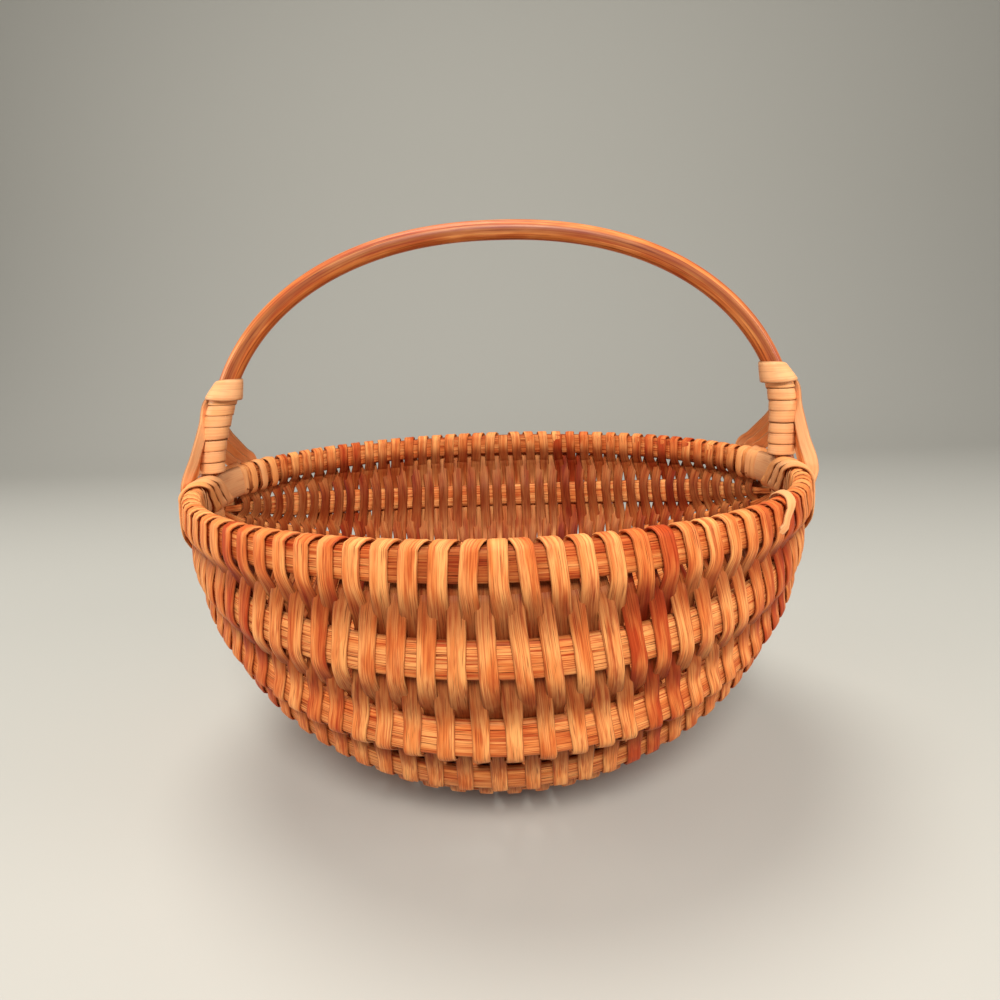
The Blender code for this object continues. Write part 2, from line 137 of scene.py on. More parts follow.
class BasketWeave(bpy.types.PropertyGroup):
    """Sizes of the woven splints."""

    width: length_property("Splint Width", "Width of a splint where it crosses a rib", 0.0060)
    thick: length_property("Splint Thickness", "Thickness of a splint", 0.0010)
    squeeze: bpy.props.FloatProperty(
        name="Squeeze", description="Share of the width where two splints pass each other",
        default=1.03, subtype="FACTOR",
    )
    shingle: angle_property("Shingle", "Tilt of splints over each other where they pass between ribs", 14)
    slant: length_property("Slant", "How far passes lean away from the middle", 0.0075)
    slant_reach: length_property("Slant Reach", "Half width of the middle, where the lean changes", 0.022)
    spacing: length_property("Pass Spacing", "Distance between neighbouring passes", 0.0045)
    slack: length_property("Slack", "Gap between a splint and the rib it bends over", 0.0004)
    step: length_property("Splint Step", "Distance between the rings of a splint", 0.0015)
    sides: count_property("Splint Sides", "Points round a splint", 12)
    seed: count_property("Weave Seed", "Seed of the handwork's unevenness", 11)


class BasketLashing(bpy.types.PropertyGroup):
    """Sizes of the splints wound at the ears."""

    width: length_property("Lashing Width", "Width of a lashing splint", 0.0052)
    thick: length_property("Lashing Thickness", "Thickness of a lashing splint", 0.0009)
    post_turns: count_property("Post Turns", "Close turns round each foot of the bow", 7)
    seed: count_property("Lashing Seed", "Seed of the turns' unevenness", 5)


class BasketFinish(bpy.types.PropertyGroup):
    """Colours of the stained rattan, and of the shade painted on it."""

    light: colour_property("Light Reed", "Palest splints", "#F2A560")
    honey: colour_property("Honey Reed", "Most splints", "#E08040")
    russet: colour_property("Russet Reed", "Reddest splints", "#B8481F")
    lashing: colour_property("Lashing Reed", "Splints at the ears", "#ECAE77")
    # Also painted as shadow lines along the edges of every reed
    stain_and_edge_shade: colour_property("Stain", "Dark lines of the grain", "#5C1D07")
    # Painted shade where splints pass each other and run inside the ribs, partly dye gathered at the
    # crossings
    shade: colour_property("Shade", "Tint where dye gathered at crossings", "#78422C")
    handle: colour_property("Handle", "Smooth rod of the bow", "#D07A3C")


class BasketStage(bpy.types.PropertyGroup):
    """Camera, floor and light."""

    distance: length_property("Camera Distance", "From the middle of the basket", 0.350)
    height: length_property("Camera Height", "Above the middle of the rim", 0.065)
    shift: length_property("Camera Sideways", "From the basket's middle plane", 0.0012)
    pitch: angle_property("Camera Pitch", "Downwards from level", 11.9)
    roll: angle_property("Camera Roll", "Raises the right side of the picture", 1.9)
    lens: bpy.props.FloatProperty(name="Lens", description="Focal length", default=27.04, unit="CAMERA")
    floor: colour_property("Floor", "Colour of floor and backdrop", "#B4B2AA")


def linear(hex_colour):
    """An sRGB hex value as the linear colour that a shader takes."""
    channels = [int(hex_colour[i : i + 2], 16) / 255 for i in (1, 3, 5)]
    curved = [c / 12.92 if c <= 0.04045 else ((c + 0.055) / 1.055) ** 2.4 for c in channels]
    return (*curved, 1.0)


def add_node(tree, kind, links=(), **settings):
    """Adds a node. Links give its inputs, by place or name, a value, an output, or a node's first output."""
    node = tree.nodes.new(kind)
    for name, value in settings.items():
        setattr(node, name, value)
    for name, source in links.items() if isinstance(links, dict) else enumerate(links):
        if isinstance(source, bpy.types.Node):
            source = source.outputs[0]
        if isinstance(source, bpy.types.NodeSocket):
            tree.links.new(source, node.inputs[name])
        else:
            node.inputs[name].default_value = source
    return node


def smooth_min(value, limit, blend):
    return min(value, limit) - max(blend - abs(value - limit), 0) ** 2 / (4 * blend)


def smooth_step(value):
    value = min(max(value, 0), 1)
    return value * value * (3 - 2 * value)


def fan_reach(latitude, fan):
    """How far the bowl's round surface lies from the line that the ribs fan out from."""
    wide = BOWL_RADIUS * cos(latitude)
    deep = BOWL_DEPTH * cos(latitude)
    square = (cos(fan) / wide) ** 2 + (sin(fan) / deep) ** 2
    linear_part = FAN_DROP * sin(fan) / deep**2
    rest = (FAN_DROP / deep) ** 2 - 1
    return (sqrt(linear_part**2 - square * rest) - linear_part) / square


def bowl_point(latitude, fan):
    """Centre surface of the ribs: latitude from the middle to an ear, fan from the front rim to the back."""
    reach = fan_reach(latitude, fan)
    level = smooth_min(FAN_DROP + reach * sin(fan), FLAT_DEPTH, FLAT_BLEND)
    return Vector((BOWL_RADIUS * sin(latitude), -reach * cos(fan), RIM_Z - level))


def bowl_axes(latitude, fan):
    """Directions at a bowl point: along its rib, across it towards the back, and out of the bowl."""
    along = bowl_point(latitude + SURFACE_STEP, fan) - bowl_point(latitude - SURFACE_STEP, fan)
    across = bowl_point(latitude, fan + SURFACE_STEP) - bowl_point(latitude, fan - SURFACE_STEP)
    along.normalize()
    across.normalize()
    return along, across, across.cross(along).normalized()


def rib_fan(angle):
    """Fan of a rib that lies at an angle below the rim in the middle of the basket."""
    turn = radians(angle)
    return atan2(BOWL_DEPTH * sin(turn) - FAN_DROP, BOWL_RADIUS * cos(turn))


FRONT_FANS = [rib_fan(angle) for angle in RIB_ANGLES]
KEEL_FAN = pi / 2
RIB_FANS = FRONT_FANS + [KEEL_FAN] + [pi - fan for fan in reversed(FRONT_FANS)]
RIB_NAMES = (
    [f"rib_front_{i + 1}" for i in range(len(RIB_ANGLES))]
    + ["rib_keel"]
    + [f"rib_back_{len(RIB_ANGLES) - i}" for i in range(len(RIB_ANGLES))]
)


# How far the ribs' faces are turned up from the bowl's surface, rib by rib from the front
FRONT_TURNS = (8, 24, 14, 0, 0)
RIB_TURNS = [radians(turn) for turn in (*FRONT_TURNS, 0, *(-turn for turn in reversed(FRONT_TURNS)))]


def rib_turn(index, latitude):
    return RIB_TURNS[index] * cos(latitude)


def rib_spacing(latitude):
    """Distance between the keel and the rib beside it."""
    return fan_reach(latitude, KEEL_FAN) * (KEEL_FAN - FRONT_FANS[-1])


def rib_size(latitude, rods):
    """Width and thickness of a rib, less where the ribs close up towards an ear."""
    spacing = rib_spacing(latitude)
    width = max(rods.rib_tip_width, min(rods.rib_width, RIB_TAPER_SHARE * spacing))
    thick = max(rods.rib_tip_thick, min(rods.rib_thick, RIB_THIN_SHARE * spacing))
    return width, thick


class Station:
    """One ring of a reed: its centre, the way across it, the way its face looks, and its sizes."""

    def __init__(self, centre, across, face, width, thick, shade_and_dye=0.0):
        self.centre = Vector(centre)
        self.across = Vector(across)
        self.face = Vector(face)
        self.width = width
        self.thick = thick
        self.shade_and_dye = shade_and_dye


def run_slope(p, q, r):
    """Direction of a smooth curve at q, between p and r that may lie at very different distances."""
    first, second = q - p, r - q
    if first.length < CLEAR / 10:
        return second.normalized()
    if second.length < CLEAR / 10:
        return first.normalized()
    return (first / first.length * second.length + second / second.length * first.length) / (
        first.length + second.length
    )


def blend_stations(before, a, b, after, share):
    """A station on the smooth curve between a and b."""
    square, cube = share * share, share * share * share
    length = (b.centre - a.centre).length
    centre = (
        a.centre * (2 * cube - 3 * square + 1)
        + run_slope(before.centre, a.centre, b.centre) * length * (cube - 2 * square + share)
        + b.centre * (3 * square - 2 * cube)
        + run_slope(a.centre, b.centre, after.centre) * length * (cube - square)
    )
    eased = smooth_step(share)
    return Station(
        centre,
        a.across.lerp(b.across, share),
        a.face.lerp(b.face, share),
        a.width + (b.width - a.width) * eased,
        a.thick + (b.thick - a.thick) * eased,
        a.shade_and_dye + (b.shade_and_dye - a.shade_and_dye) * eased,
    )


def smooth_reed(stations, step, closed=False):
    """The reed's stations set close together on one smooth curve, with square axes at each."""
    count = len(stations)
    result = []
    spans = count if closed else count - 1
    for i in range(spans):
        a = stations[i]
        b = stations[(i + 1) % count]
        before = stations[(i - 1) % count] if closed or i > 0 else a
        after = stations[(i + 2) % count] if closed or i + 2 < count else b
        pieces = max(1, round((b.centre - a.centre).length / step))
        for k in range(pieces):
            result.append(blend_stations(before, a, b, after, k / pieces))
    if not closed:
        result.append(stations[-1])
    return square_axes(result, closed)


def square_axes(stations, closed=False):
    """Turns each station's axes square to the way the reed runs."""
    count = len(stations)
    result = []
    for i, station in enumerate(stations):
        last = stations[(i - 1) % count] if closed or i > 0 else station
        following = stations[(i + 1) % count] if closed or i + 1 < count else station
        ahead = (following.centre - last.centre).normalized()
        across = (station.across - ahead * station.across.dot(ahead)).normalized()
        face = ahead.cross(across)
        if face.dot(station.face) < 0:
            face.negate()
        result.append(Station(station.centre, across, face, station.width, station.thick, station.shade_and_dye))
    return result


def reed_paths(name, reeds, closed=False):
    """A mesh of bare lines, one for each reed, whose points carry the stations' sizes as attributes."""
    mesh = bpy.data.meshes.new(name)
    points = []
    edges = []
    vectors = {"centre": [], "across": [], "face": []}
    numbers = {"width": [], "thick": [], "shade_and_dye": [], "along": [], "tone": []}
    for stations, tone in reeds:
        start = len(points)
        along = tone * 10
        for i, station in enumerate(stations):
            if i > 0:
                along += (station.centre - stations[i - 1].centre).length
                edges.append((start + i - 1, start + i))
            points.append(station.centre)
            vectors["centre"].extend(station.centre)
            vectors["across"].extend(station.across)
            vectors["face"].extend(station.face)
            numbers["width"].append(station.width)
            numbers["thick"].append(station.thick)
            numbers["shade_and_dye"].append(station.shade_and_dye)
            numbers["along"].append(along)
            numbers["tone"].append(tone)
        if closed:
            edges.append((len(points) - 1, start))
    mesh.from_pydata(points, edges, [])
    for key, values in vectors.items():
        mesh.attributes.new(key, "FLOAT_VECTOR", "POINT").data.foreach_set("vector", values)
    for key, values in numbers.items():
        mesh.attributes.new(key, "FLOAT", "POINT").data.foreach_set("value", values)
    return mesh


def reed_tree():
    """Geometry Nodes tree that turns bare lines into solid reeds of the width and thickness at each point."""
    tree = bpy.data.node_groups.new("Reed along lines", "GeometryNodeTree")
    tree.interface.new_socket("Geometry", in_out="INPUT", socket_type="NodeSocketGeometry")
    for name, kind, value in (
        ("Sides", "Int", 16),
        ("Edge Sharpness", "Float", 6.0),
        ("Edge Spread", "Float", 0.8),
        ("Cup", "Float", 0.0),
        ("Ridge Height", "Float", 0.0),
        ("Ridge Pitch", "Float", 0.001),
    ):
        socket = tree.interface.new_socket(name, in_out="INPUT", socket_type="NodeSocket" + kind)
        socket.default_value = value
    tree.interface.new_socket("Material", in_out="INPUT", socket_type="NodeSocketMaterial")
    tree.interface.new_socket("Geometry", in_out="OUTPUT", socket_type="NodeSocketGeometry")
    inputs = add_node(tree, "NodeGroupInput").outputs
    maths = "ShaderNodeMath"
    vector_maths = "ShaderNodeVectorMath"
    attribute = "GeometryNodeInputNamedAttribute"
    store = "GeometryNodeStoreNamedAttribute"

    # A round tube along each line, whose profile points keep their place on the circle as "ring"
    lines = add_node(tree, "GeometryNodeMeshToCurve", {"Mesh": inputs["Geometry"]})
    round_profile = {"Resolution": inputs["Sides"], "Radius": 1.0}
    circle = add_node(tree, "GeometryNodeCurvePrimitiveCircle", round_profile)
    place = add_node(tree, "GeometryNodeInputPosition")
    kept = {"Geometry": circle, "Name": "ring", "Value": place}
    ring = add_node(tree, store, kept, data_type="FLOAT_VECTOR")
    tube = add_node(
        tree, "GeometryNodeCurveToMesh", {"Curve": lines, "Profile Curve": ring, "Fill Caps": True}
    )

    # Place across the reed, from -1 to 1, and the height of a rounded oblong there
    ring_place = add_node(tree, attribute, {"Name": "ring"}, data_type="FLOAT_VECTOR")
    around = add_node(tree, "ShaderNodeSeparateXYZ", (ring_place,)).outputs
    level = add_node(tree, "ShaderNodeClamp", (around["X"], -1.0, 1.0))
    angle = add_node(tree, maths, (level,), operation="ARCCOSINE")
    even = add_node(tree, maths, (angle, -2 / pi, 1.0), operation="MULTIPLY_ADD")
    u = add_node(tree, "ShaderNodeMix", {0: inputs["Edge Spread"], 2: even, 3: level}, data_type="FLOAT")
    reach = add_node(tree, maths, (u,), operation="ABSOLUTE")
    power = add_node(tree, maths, (reach, inputs["Edge Sharpness"]), operation="POWER")
    under = add_node(tree, maths, (1.0, power), operation="SUBTRACT", use_clamp=True)
    root = add_node(tree, maths, (1.0, inputs["Edge Sharpness"]), operation="DIVIDE")
    height = add_node(tree, maths, (under, root), operation="POWER")
    face_sign = add_node(tree, maths, (around["Y"],), operation="SIGN")
    v = add_node(tree, maths, (height, face_sign), operation="MULTIPLY")

    # The same place in metres
    width = add_node(tree, attribute, {"Name": "width"}, data_type="FLOAT")
    thick = add_node(tree, attribute, {"Name": "thick"}, data_type="FLOAT")
    along = add_node(tree, attribute, {"Name": "along"}, data_type="FLOAT")
    half_width = add_node(tree, maths, (width, 0.5), operation="MULTIPLY")
    half_thick = add_node(tree, maths, (thick, 0.5), operation="MULTIPLY")
    sideways = add_node(tree, maths, (u, half_width), operation="MULTIPLY")
    flat = add_node(tree, maths, (v, half_thick), operation="MULTIPLY")
    grain = add_node(tree, "ShaderNodeCombineXYZ", (along, sideways, flat))

    # Lengthwise ridges and a slight hollow
    per_pitch = add_node(tree, maths, (1.0, inputs["Ridge Pitch"]), operation="DIVIDE")
    long_pitch = add_node(tree, maths, (per_pitch, 0.04), operation="MULTIPLY")
    stretch = add_node(tree, "ShaderNodeCombineXYZ", (long_pitch, per_pitch, per_pitch))
    stretched = add_node(tree, vector_maths, (grain, stretch), operation="MULTIPLY")
    bumps = add_node(tree, "ShaderNodeTexNoise", {"Vector": stretched, "Scale": 1.0, "Detail": 1.0})
    ridge = add_node(tree, maths, (bumps, 0.5), operation="SUBTRACT")
    ridge = add_node(tree, maths, (ridge, inputs["Ridge Height"]), operation="MULTIPLY")
    ridged = add_node(tree, maths, (ridge, v, flat), operation="MULTIPLY_ADD")
    square = add_node(tree, maths, (u, u), operation="MULTIPLY")
    hollow = add_node(tree, maths, (square, inputs["Cup"]), operation="MULTIPLY")
    raised = add_node(tree, maths, (ridged, hollow), operation="SUBTRACT")

    centre = add_node(tree, attribute, {"Name": "centre"}, data_type="FLOAT_VECTOR")
    across = add_node(tree, attribute, {"Name": "across"}, data_type="FLOAT_VECTOR")
    face = add_node(tree, attribute, {"Name": "face"}, data_type="FLOAT_VECTOR")
    side_step = add_node(tree, vector_maths, {0: across, "Scale": sideways}, operation="SCALE")
    face_step = add_node(tree, vector_maths, {0: face, "Scale": raised}, operation="SCALE")
    offset = add_node(tree, vector_maths, (side_step, face_step), operation="ADD")
    spot = add_node(tree, vector_maths, (centre, offset), operation="ADD")
    # Nearness to the reed's edges, which the material darkens as painted shadow lines
    edged = add_node(tree, store, {"Geometry": tube, "Name": "edge", "Value": reach}, data_type="FLOAT")
    grained = add_node(
        tree, store, {"Geometry": edged, "Name": "grain", "Value": grain}, data_type="FLOAT_VECTOR"
    )
    placed = add_node(tree, "GeometryNodeSetPosition", {"Geometry": grained, "Position": spot})
    smooth = add_node(tree, "GeometryNodeSetShadeSmooth", {"Geometry": placed})
    real = add_node(tree, "GeometryNodeRealizeInstances", {"Geometry": smooth})
    finished = add_node(tree, "GeometryNodeSetMaterial", {"Geometry": real, "Material": inputs["Material"]})
    add_node(tree, "NodeGroupOutput", (finished,))
    return tree


# Folds sharper than this, such as the cut ends, stay sharp
CAP_ANGLE = radians(65)


def reed_piece(name, reeds, material, node, slot, closed=False, **shape):
    """One finished piece made of solid reeds along the given stations.

    It stands for a CAD node if one is given. Shape gives the tree's inputs by their names.
    """
    carrier = bpy.data.objects.new(name + "_lines", reed_paths(name, reeds, closed))
    bpy.context.scene.collection.objects.link(carrier)
    tree = bpy.data.node_groups.get("Reed along lines") or reed_tree()
    modifier = carrier.modifiers.new("Reed", "NODES")
    modifier.node_group = tree
    sockets = {item.name: item.identifier for item in tree.interface.items_tree if item.in_out == "INPUT"}
    for key, value in shape.items():
        modifier[sockets[key.replace("_", " ").title()]] = value
    modifier[sockets["Material"]] = material
    graph = bpy.context.evaluated_depsgraph_get()
    graph.update()
    mesh = bpy.data.meshes.new_from_object(carrier.evaluated_get(graph), depsgraph=graph)
    bpy.data.objects.remove(carrier)
    for attribute in list(mesh.attributes):
        if attribute.name in {"centre", "across", "face", "width", "thick", "along", "ring"}:
            mesh.attributes.remove(attribute)
    mesh.set_sharp_from_angle(angle=CAP_ANGLE)
    mesh.name = name
    piece = bpy.data.objects.new(name, mesh)
    bpy.context.scene.collection.objects.link(piece)
    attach(piece, BODY)
    if node:
        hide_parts(node)
    return piece


def rim_point(latitude, face):
    """Point on the rim's centre line, at the front or the back, with the ways outwards and along it."""
    outward = Vector((sin(latitude), face * cos(latitude), 0))
    along = Vector((cos(latitude), -face * sin(latitude), 0))
    return outward * BOWL_RADIUS + UP * RIM_Z, outward, along


def pass_latitude(number, spacing):
    return (number - MIDDLE_PASS) * spacing / BOWL_RADIUS


# Painted shade: how dark it is where splints pass each other, where it also stands for dye gathered there,
# and on the stretches that run inside the ribs
CROSSING_SHADE = 0.7
INSIDE_SHADE = 0.9

# How much wider the middle pass is where it passes its neighbours
MIDDLE_WIDENING = 1.16


def crest_lift(latitude, rods, weave):
    """How far a splint's centre lies from the centre of the rib that it bends over."""
    return rib_size(latitude, rods)[1] / 2 + weave.slack + weave.thick / 2


# How far a splint drifts sideways by hand
DRIFT = 0.0006


class Handwork:
    """Unevenness of one splint length: small sideways drift and width, the same on each run."""

    def __init__(self, seed):
        self.random = random.Random(seed)
        self.phase = self.random.uniform(0, 2 * pi)
        self.width_share = self.random.uniform(0.94, 1.05)

    def drift(self, fan, number):
        return DRIFT * sin(3 * fan + self.phase + 2.4 * number)

    def width(self, width):
        return width * self.width_share * self.random.uniform(0.95, 1.04)


# Way of a splint over the rim, from low outside to low inside: share of the way out and of the way up, then
# how much of the step along the rim is made there, as a plain share and as a share of the lean
RIM_ROUND = (
    (1, -0.72, 0, 0),
    (1, 0.45, 0, 0.55),
    (0.86, 0.86, 0, 0.75),
    (0, 1.06, 0.5, 0.25),
    (-0.86, 0.86, 0.8, 0),
    (-1, 0.45, 0.9, 0),
    (-1, -0.72, 1, 0),
)


def rim_wrap(face, outer_latitude, inner_latitude, lean, weave, hand):
    """Stations of a splint over the rim, from low on its outside to low on its inside."""
    side = RIM_THICK / 2 + weave.slack + weave.thick / 2
    peak = RIM_HEIGHT / 2 + weave.slack + weave.thick / 2
    stations = []
    width = hand.width(weave.width)
    for beyond, above, plain, leaning in RIM_ROUND:
        latitude = outer_latitude + (inner_latitude - outer_latitude) * (plain + leaning * lean)
        centre, outward, along = rim_point(latitude, face)
        point = centre + outward * side * beyond + UP * peak * above
        normal = outward * beyond + UP * (0 if abs(beyond) == 1 else above)
        # Painted shade on the low stretch inside the rim
        dark = INSIDE_SHADE if beyond == -1 and above < 0 else 0
        stations.append(Station(point, along, normal.normalized(), width, weave.thick, dark))
    return stations


# Half of the way over which a splint lies flat on a rib, as a share of the rib's width, its height at the
# ends of that way, and how far below the rim it passes its neighbour, in such halves
CREST_HALF = 0.26
CREST_END = 0.94
FIRST_CROSSING = 1.9


def run_stations(latitude, outside, rods, weave, hand, number):
    """Stations of one pass over and under the ribs, from the front rim to the back rim."""
    stations = []
    lift = crest_lift(latitude, rods, weave)
    rim_fan = atan2(RIM_HEIGHT / 2 - FAN_DROP, BOWL_RADIUS * cos(latitude))
    reach = fan_reach(latitude, KEEL_FAN)
    half_flat = CREST_HALF * rib_size(latitude, rods)[0] / reach
    first = (rim_fan + RIB_FANS[0] - half_flat * FIRST_CROSSING) / 2
    crossings = [first] + [(a + b) / 2 for a, b in zip(RIB_FANS, RIB_FANS[1:])] + [pi - first]

    # The middle pass lies flat and wider between its neighbours, which lean away from it on both sides
    in_middle = number == MIDDLE_PASS
    squeeze = weave.squeeze * (MIDDLE_WIDENING if in_middle else 1)
    tilt = 0 if in_middle else weave.shingle

    # Where splints pass each other they get painted shade, which also stands for dye gathered there
    def crossing_station(fan):
        return surface_station(latitude, fan, 0, weave, hand, number, squeeze, CROSSING_SHADE, tilt)

    for index, fan in enumerate(RIB_FANS):
        side = OUT if (index % 2 == 1) == outside else IN
        # Painted shade on the stretches that run inside the ribs
        dark = 0 if side == OUT else INSIDE_SHADE
        stations.append(crossing_station(crossings[index]))
        for turn, share in ((-half_flat, CREST_END), (0, 1), (half_flat, CREST_END)):
            raised = side * lift * share + turn * reach * tan(rib_turn(index, latitude))
            stations.append(surface_station(latitude, fan + turn, raised, weave, hand, number, 1, dark))
    stations.append(crossing_station(crossings[-1]))
    return stations


# Slant: fan above the first rib where it starts, how softly it ends at the second, how far it favours the
# right, where it changes over, and the latitudes over which it fades towards the ears
SLANT_START = radians(1.2)
SLANT_BLEND = 0.4
SLANT_BIAS = 1 / 7
SLANT_OFFSET = 0.008
SLANT_FULL = 0.6
SLANT_FADE = 0.7


def slant(latitude, fan, weave):
    """How far along the rim's way a pass has moved at a fan.

    Its front leans away from the middle as it goes down, and comes back under the bowl.
    """
    front = smooth_min((fan + SLANT_START) / (RIB_FANS[1] + SLANT_START), 1, SLANT_BLEND)
    back = 1 - smooth_step((fan - KEEL_FAN) / (RIB_FANS[-2] - KEEL_FAN))
    spread = SLANT_BIAS + tanh((BOWL_RADIUS * latitude + SLANT_OFFSET) / weave.slant_reach)
    fade = 1 - smooth_step((abs(latitude) - SLANT_FULL) / SLANT_FADE)
    return weave.slant * spread * fade * max(front, 0) * back


def surface_station(latitude, fan, lift, weave, hand, number, width_share, shade_and_dye, tilt=0.0):
    """A station of a pass at a fan, raised from the ribs' surface by a lift.

    A tilt turns the edge towards the ear outwards.
    """
    from_front = pi - fan if number <= MIDDLE_PASS else fan
    moved = latitude + (slant(latitude, from_front, weave) + hand.drift(fan, number)) / BOWL_RADIUS
    along, _, out = bowl_axes(moved, fan)
    centre = bowl_point(moved, fan) + out * lift
    width = hand.width(weave.width) * width_share
    ear_side = 1 if number > MIDDLE_PASS else -1
    across = along + out * ear_side * tan(tilt)
    return Station(centre, across.normalized(), out, width, weave.thick, shade_and_dye)


def mirrored(stations):
    """The same stations with front and back changed over."""
    flip = Matrix.Diagonal((1, -1, 1))
    return [
        Station(flip @ s.centre, flip @ s.across, flip @ s.face, s.width, s.thick, s.shade_and_dye) for s in stations
    ]


def lean_at(latitude):
    """How much of a splint's step along the rim shows on its outside; more towards the right ear."""
    return 0.25 + 0.6 * smooth_step((sin(latitude) + 0.2) / 0.9)


def weaver_stations(first, last, rods, weave, hand):
    """One splint length: passes that run to and fro, joined over the rim."""
    spacing = weave.spacing
    stations = []
    for number in range(first, last + 1):
        latitude = pass_latitude(number, spacing)
        outside = number % 2 == 0
        run = run_stations(latitude, outside, rods, weave, hand, number)
        if not outside:
            run.reverse()
        if number == first:
            start_face = FRONT if outside else BACK
            if first == 0:
                stations += reversed(rim_wrap(start_face, latitude, latitude, lean_at(latitude), weave, hand))
            else:
                stations += rim_wrap(start_face, latitude, latitude, 0.5, weave, hand)[-3:]
        stations += run
        # The left half ends at the rim, without a step to the next pass
        ends_left = number == MIDDLE_PASS
        following = latitude if number == PASSES - 1 or ends_left else pass_latitude(number + 1, spacing)
        if outside:
            stations += rim_wrap(BACK, latitude, following, lean_at(latitude), weave, hand)
        else:
            stations += reversed(rim_wrap(FRONT, following, latitude, lean_at(following), weave, hand))
    # The left half is woven with front and back changed over
    if last <= MIDDLE_PASS:
        stations = mirrored(stations)
    return stations


# For each reed its colours from palest to deepest, width and length of its streaks in metres, strength of
# its dark lines, clouding of the stain, roughness, relief of the fibres in metres, and shine. Open pores
# leave bare reed nearly without shine. Real fibres are 0.1 to 0.2 mm wide, and are drawn coarser to show.
REEDS = {
    # Split and dyed: satin, streaked along its length, redder where the dye gathered
    "Dyed flat reed": (("light", "honey", "russet"), 0.00035, 0.022, 0.6, 0.42, 0.5, 0.00008, 0.08),
    # Thin, with its smooth side out: paler and plainer than the weave, slightly pink
    "Smooth flat reed": (("lashing", "light", "honey"), 0.0006, 0.040, 0.2, 0.16, 0.45, 0.00004, 0.15),
    # Sanded: long open vessels show as dark dashes
    "Sanded oval reed": (("light", "honey", "russet"), 0.00045, 0.030, 0.85, 0.35, 0.5, 0.00012, 0.08),
    # Whole, with its bark on, stained and waxed: satin, with long dark streaks
    "Waxed round rattan": (("light", "handle", "russet"), 0.0006, 0.070, 0.7, 0.25, 0.42, 0.00005, 0.35),
}


def rattan_material(name):
    """Stained reed: lengthwise fibres, darker pores, and clouds where the dye took unevenly, with painted
    shade along its edges, where splints cross and where they run inside.
    """
    found = bpy.data.materials.get(name)
    if found:
        return found
    finish = bpy.context.scene.basket_finish
    colours, fibre, length, dark_lines, clouding, roughness, relief, shine = REEDS[name]
    material = bpy.data.materials.new(name)
    material.use_nodes = True
    tree = material.node_tree
    shader = tree.nodes["Principled BSDF"]
    light, middle, deep = (linear(getattr(finish, colour)) for colour in colours)
    russet, stain_and_edge_shade = linear(finish.russet), linear(finish.stain_and_edge_shade)
    grain = add_node(tree, "ShaderNodeAttribute", attribute_name="grain").outputs["Vector"]
    tone = add_node(tree, "ShaderNodeAttribute", attribute_name="tone").outputs["Fac"]
    edge = add_node(tree, "ShaderNodeAttribute", attribute_name="edge").outputs["Fac"]
    shade_and_dye = add_node(tree, "ShaderNodeAttribute", attribute_name="shade_and_dye").outputs["Fac"]

    # Noise drawn out along the reed: fibres, pores, clouds of stain 26 mm long and red patches 16 mm long
    noises = []
    for lengthwise, crosswise, detail in (
        (length, fibre, 3.0), (length * 0.5, fibre * 0.8, 1.0), (0.026, 0.005, 2.0), (0.016, 0.0022, 2.0)
    ):
        scale = (1 / lengthwise, 1 / crosswise, 1 / crosswise)
        scaled = add_node(tree, "ShaderNodeVectorMath", (grain, scale), operation="MULTIPLY")
        inputs = {"Vector": scaled, "Scale": 1.0, "Detail": detail, "Roughness": 0.6}
        noises.append(add_node(tree, "ShaderNodeTexNoise", inputs))
    fibres, pores, clouds, patches = noises

    drift = add_node(tree, "ShaderNodeMapRange", (clouds, 0.3, 0.7, -clouding, clouding))
    shade = add_node(tree, "ShaderNodeMath", (tone, drift), operation="ADD")
    ramp = add_node(tree, "ShaderNodeValToRGB", (shade,))
    ramp.color_ramp.elements[0].position = 0.1
    ramp.color_ramp.elements[0].color = light
    ramp.color_ramp.elements[1].position = 0.95
    ramp.color_ramp.elements[1].color = deep
    ramp.color_ramp.elements.new(0.5).color = middle
    body = ramp.outputs["Color"]
    for source, low, high, most, colour, blend in (
        (patches, 0.54, 0.70, clouding * 1.5, russet, "MIX"),
        (fibres, 0.45, 0.65, dark_lines, deep, "MULTIPLY"),
        (pores, 0.60, 0.70, dark_lines, stain_and_edge_shade, "MIX"),
        # Painted shadow lines along the edges of every reed
        (edge, 0.86, 1.0, 0.6, stain_and_edge_shade, "MIX"),
        # Painted shade where splints pass each other and run inside, partly dye gathered at crossings, and
        # the rim's darker front stretch
        (shade_and_dye, 0.0, 1.0, 0.9, linear(finish.shade), "MULTIPLY"),
    ):
        share = add_node(tree, "ShaderNodeMapRange", (source, low, high, 0.0, most))
        inputs = {0: share, 6: body, 7: colour}
        body = add_node(tree, "ShaderNodeMix", inputs, data_type="RGBA", blend_type=blend).outputs[2]
    tree.links.new(body, shader.inputs["Base Color"])
    dull = add_node(tree, "ShaderNodeMapRange", (fibres, 0.3, 0.7, roughness - 0.06, roughness + 0.10))
    tree.links.new(dull.outputs[0], shader.inputs["Roughness"])
    shader.inputs["Specular IOR Level"].default_value = shine
    bump = add_node(tree, "ShaderNodeBump", {"Height": fibres, "Strength": 0.5, "Distance": relief})
    tree.links.new(bump.outputs["Normal"], shader.inputs["Normal"])
    return material


# A darker stretch of the rim at the front, left of the middle: its depth, place, length and soft ends
RIM_DARKENING = 0.5
RIM_DARKENING_TURN = 1.5 * pi - 0.07
RIM_DARKENING_REACH = 0.12
RIM_DARKENING_FADE = 2


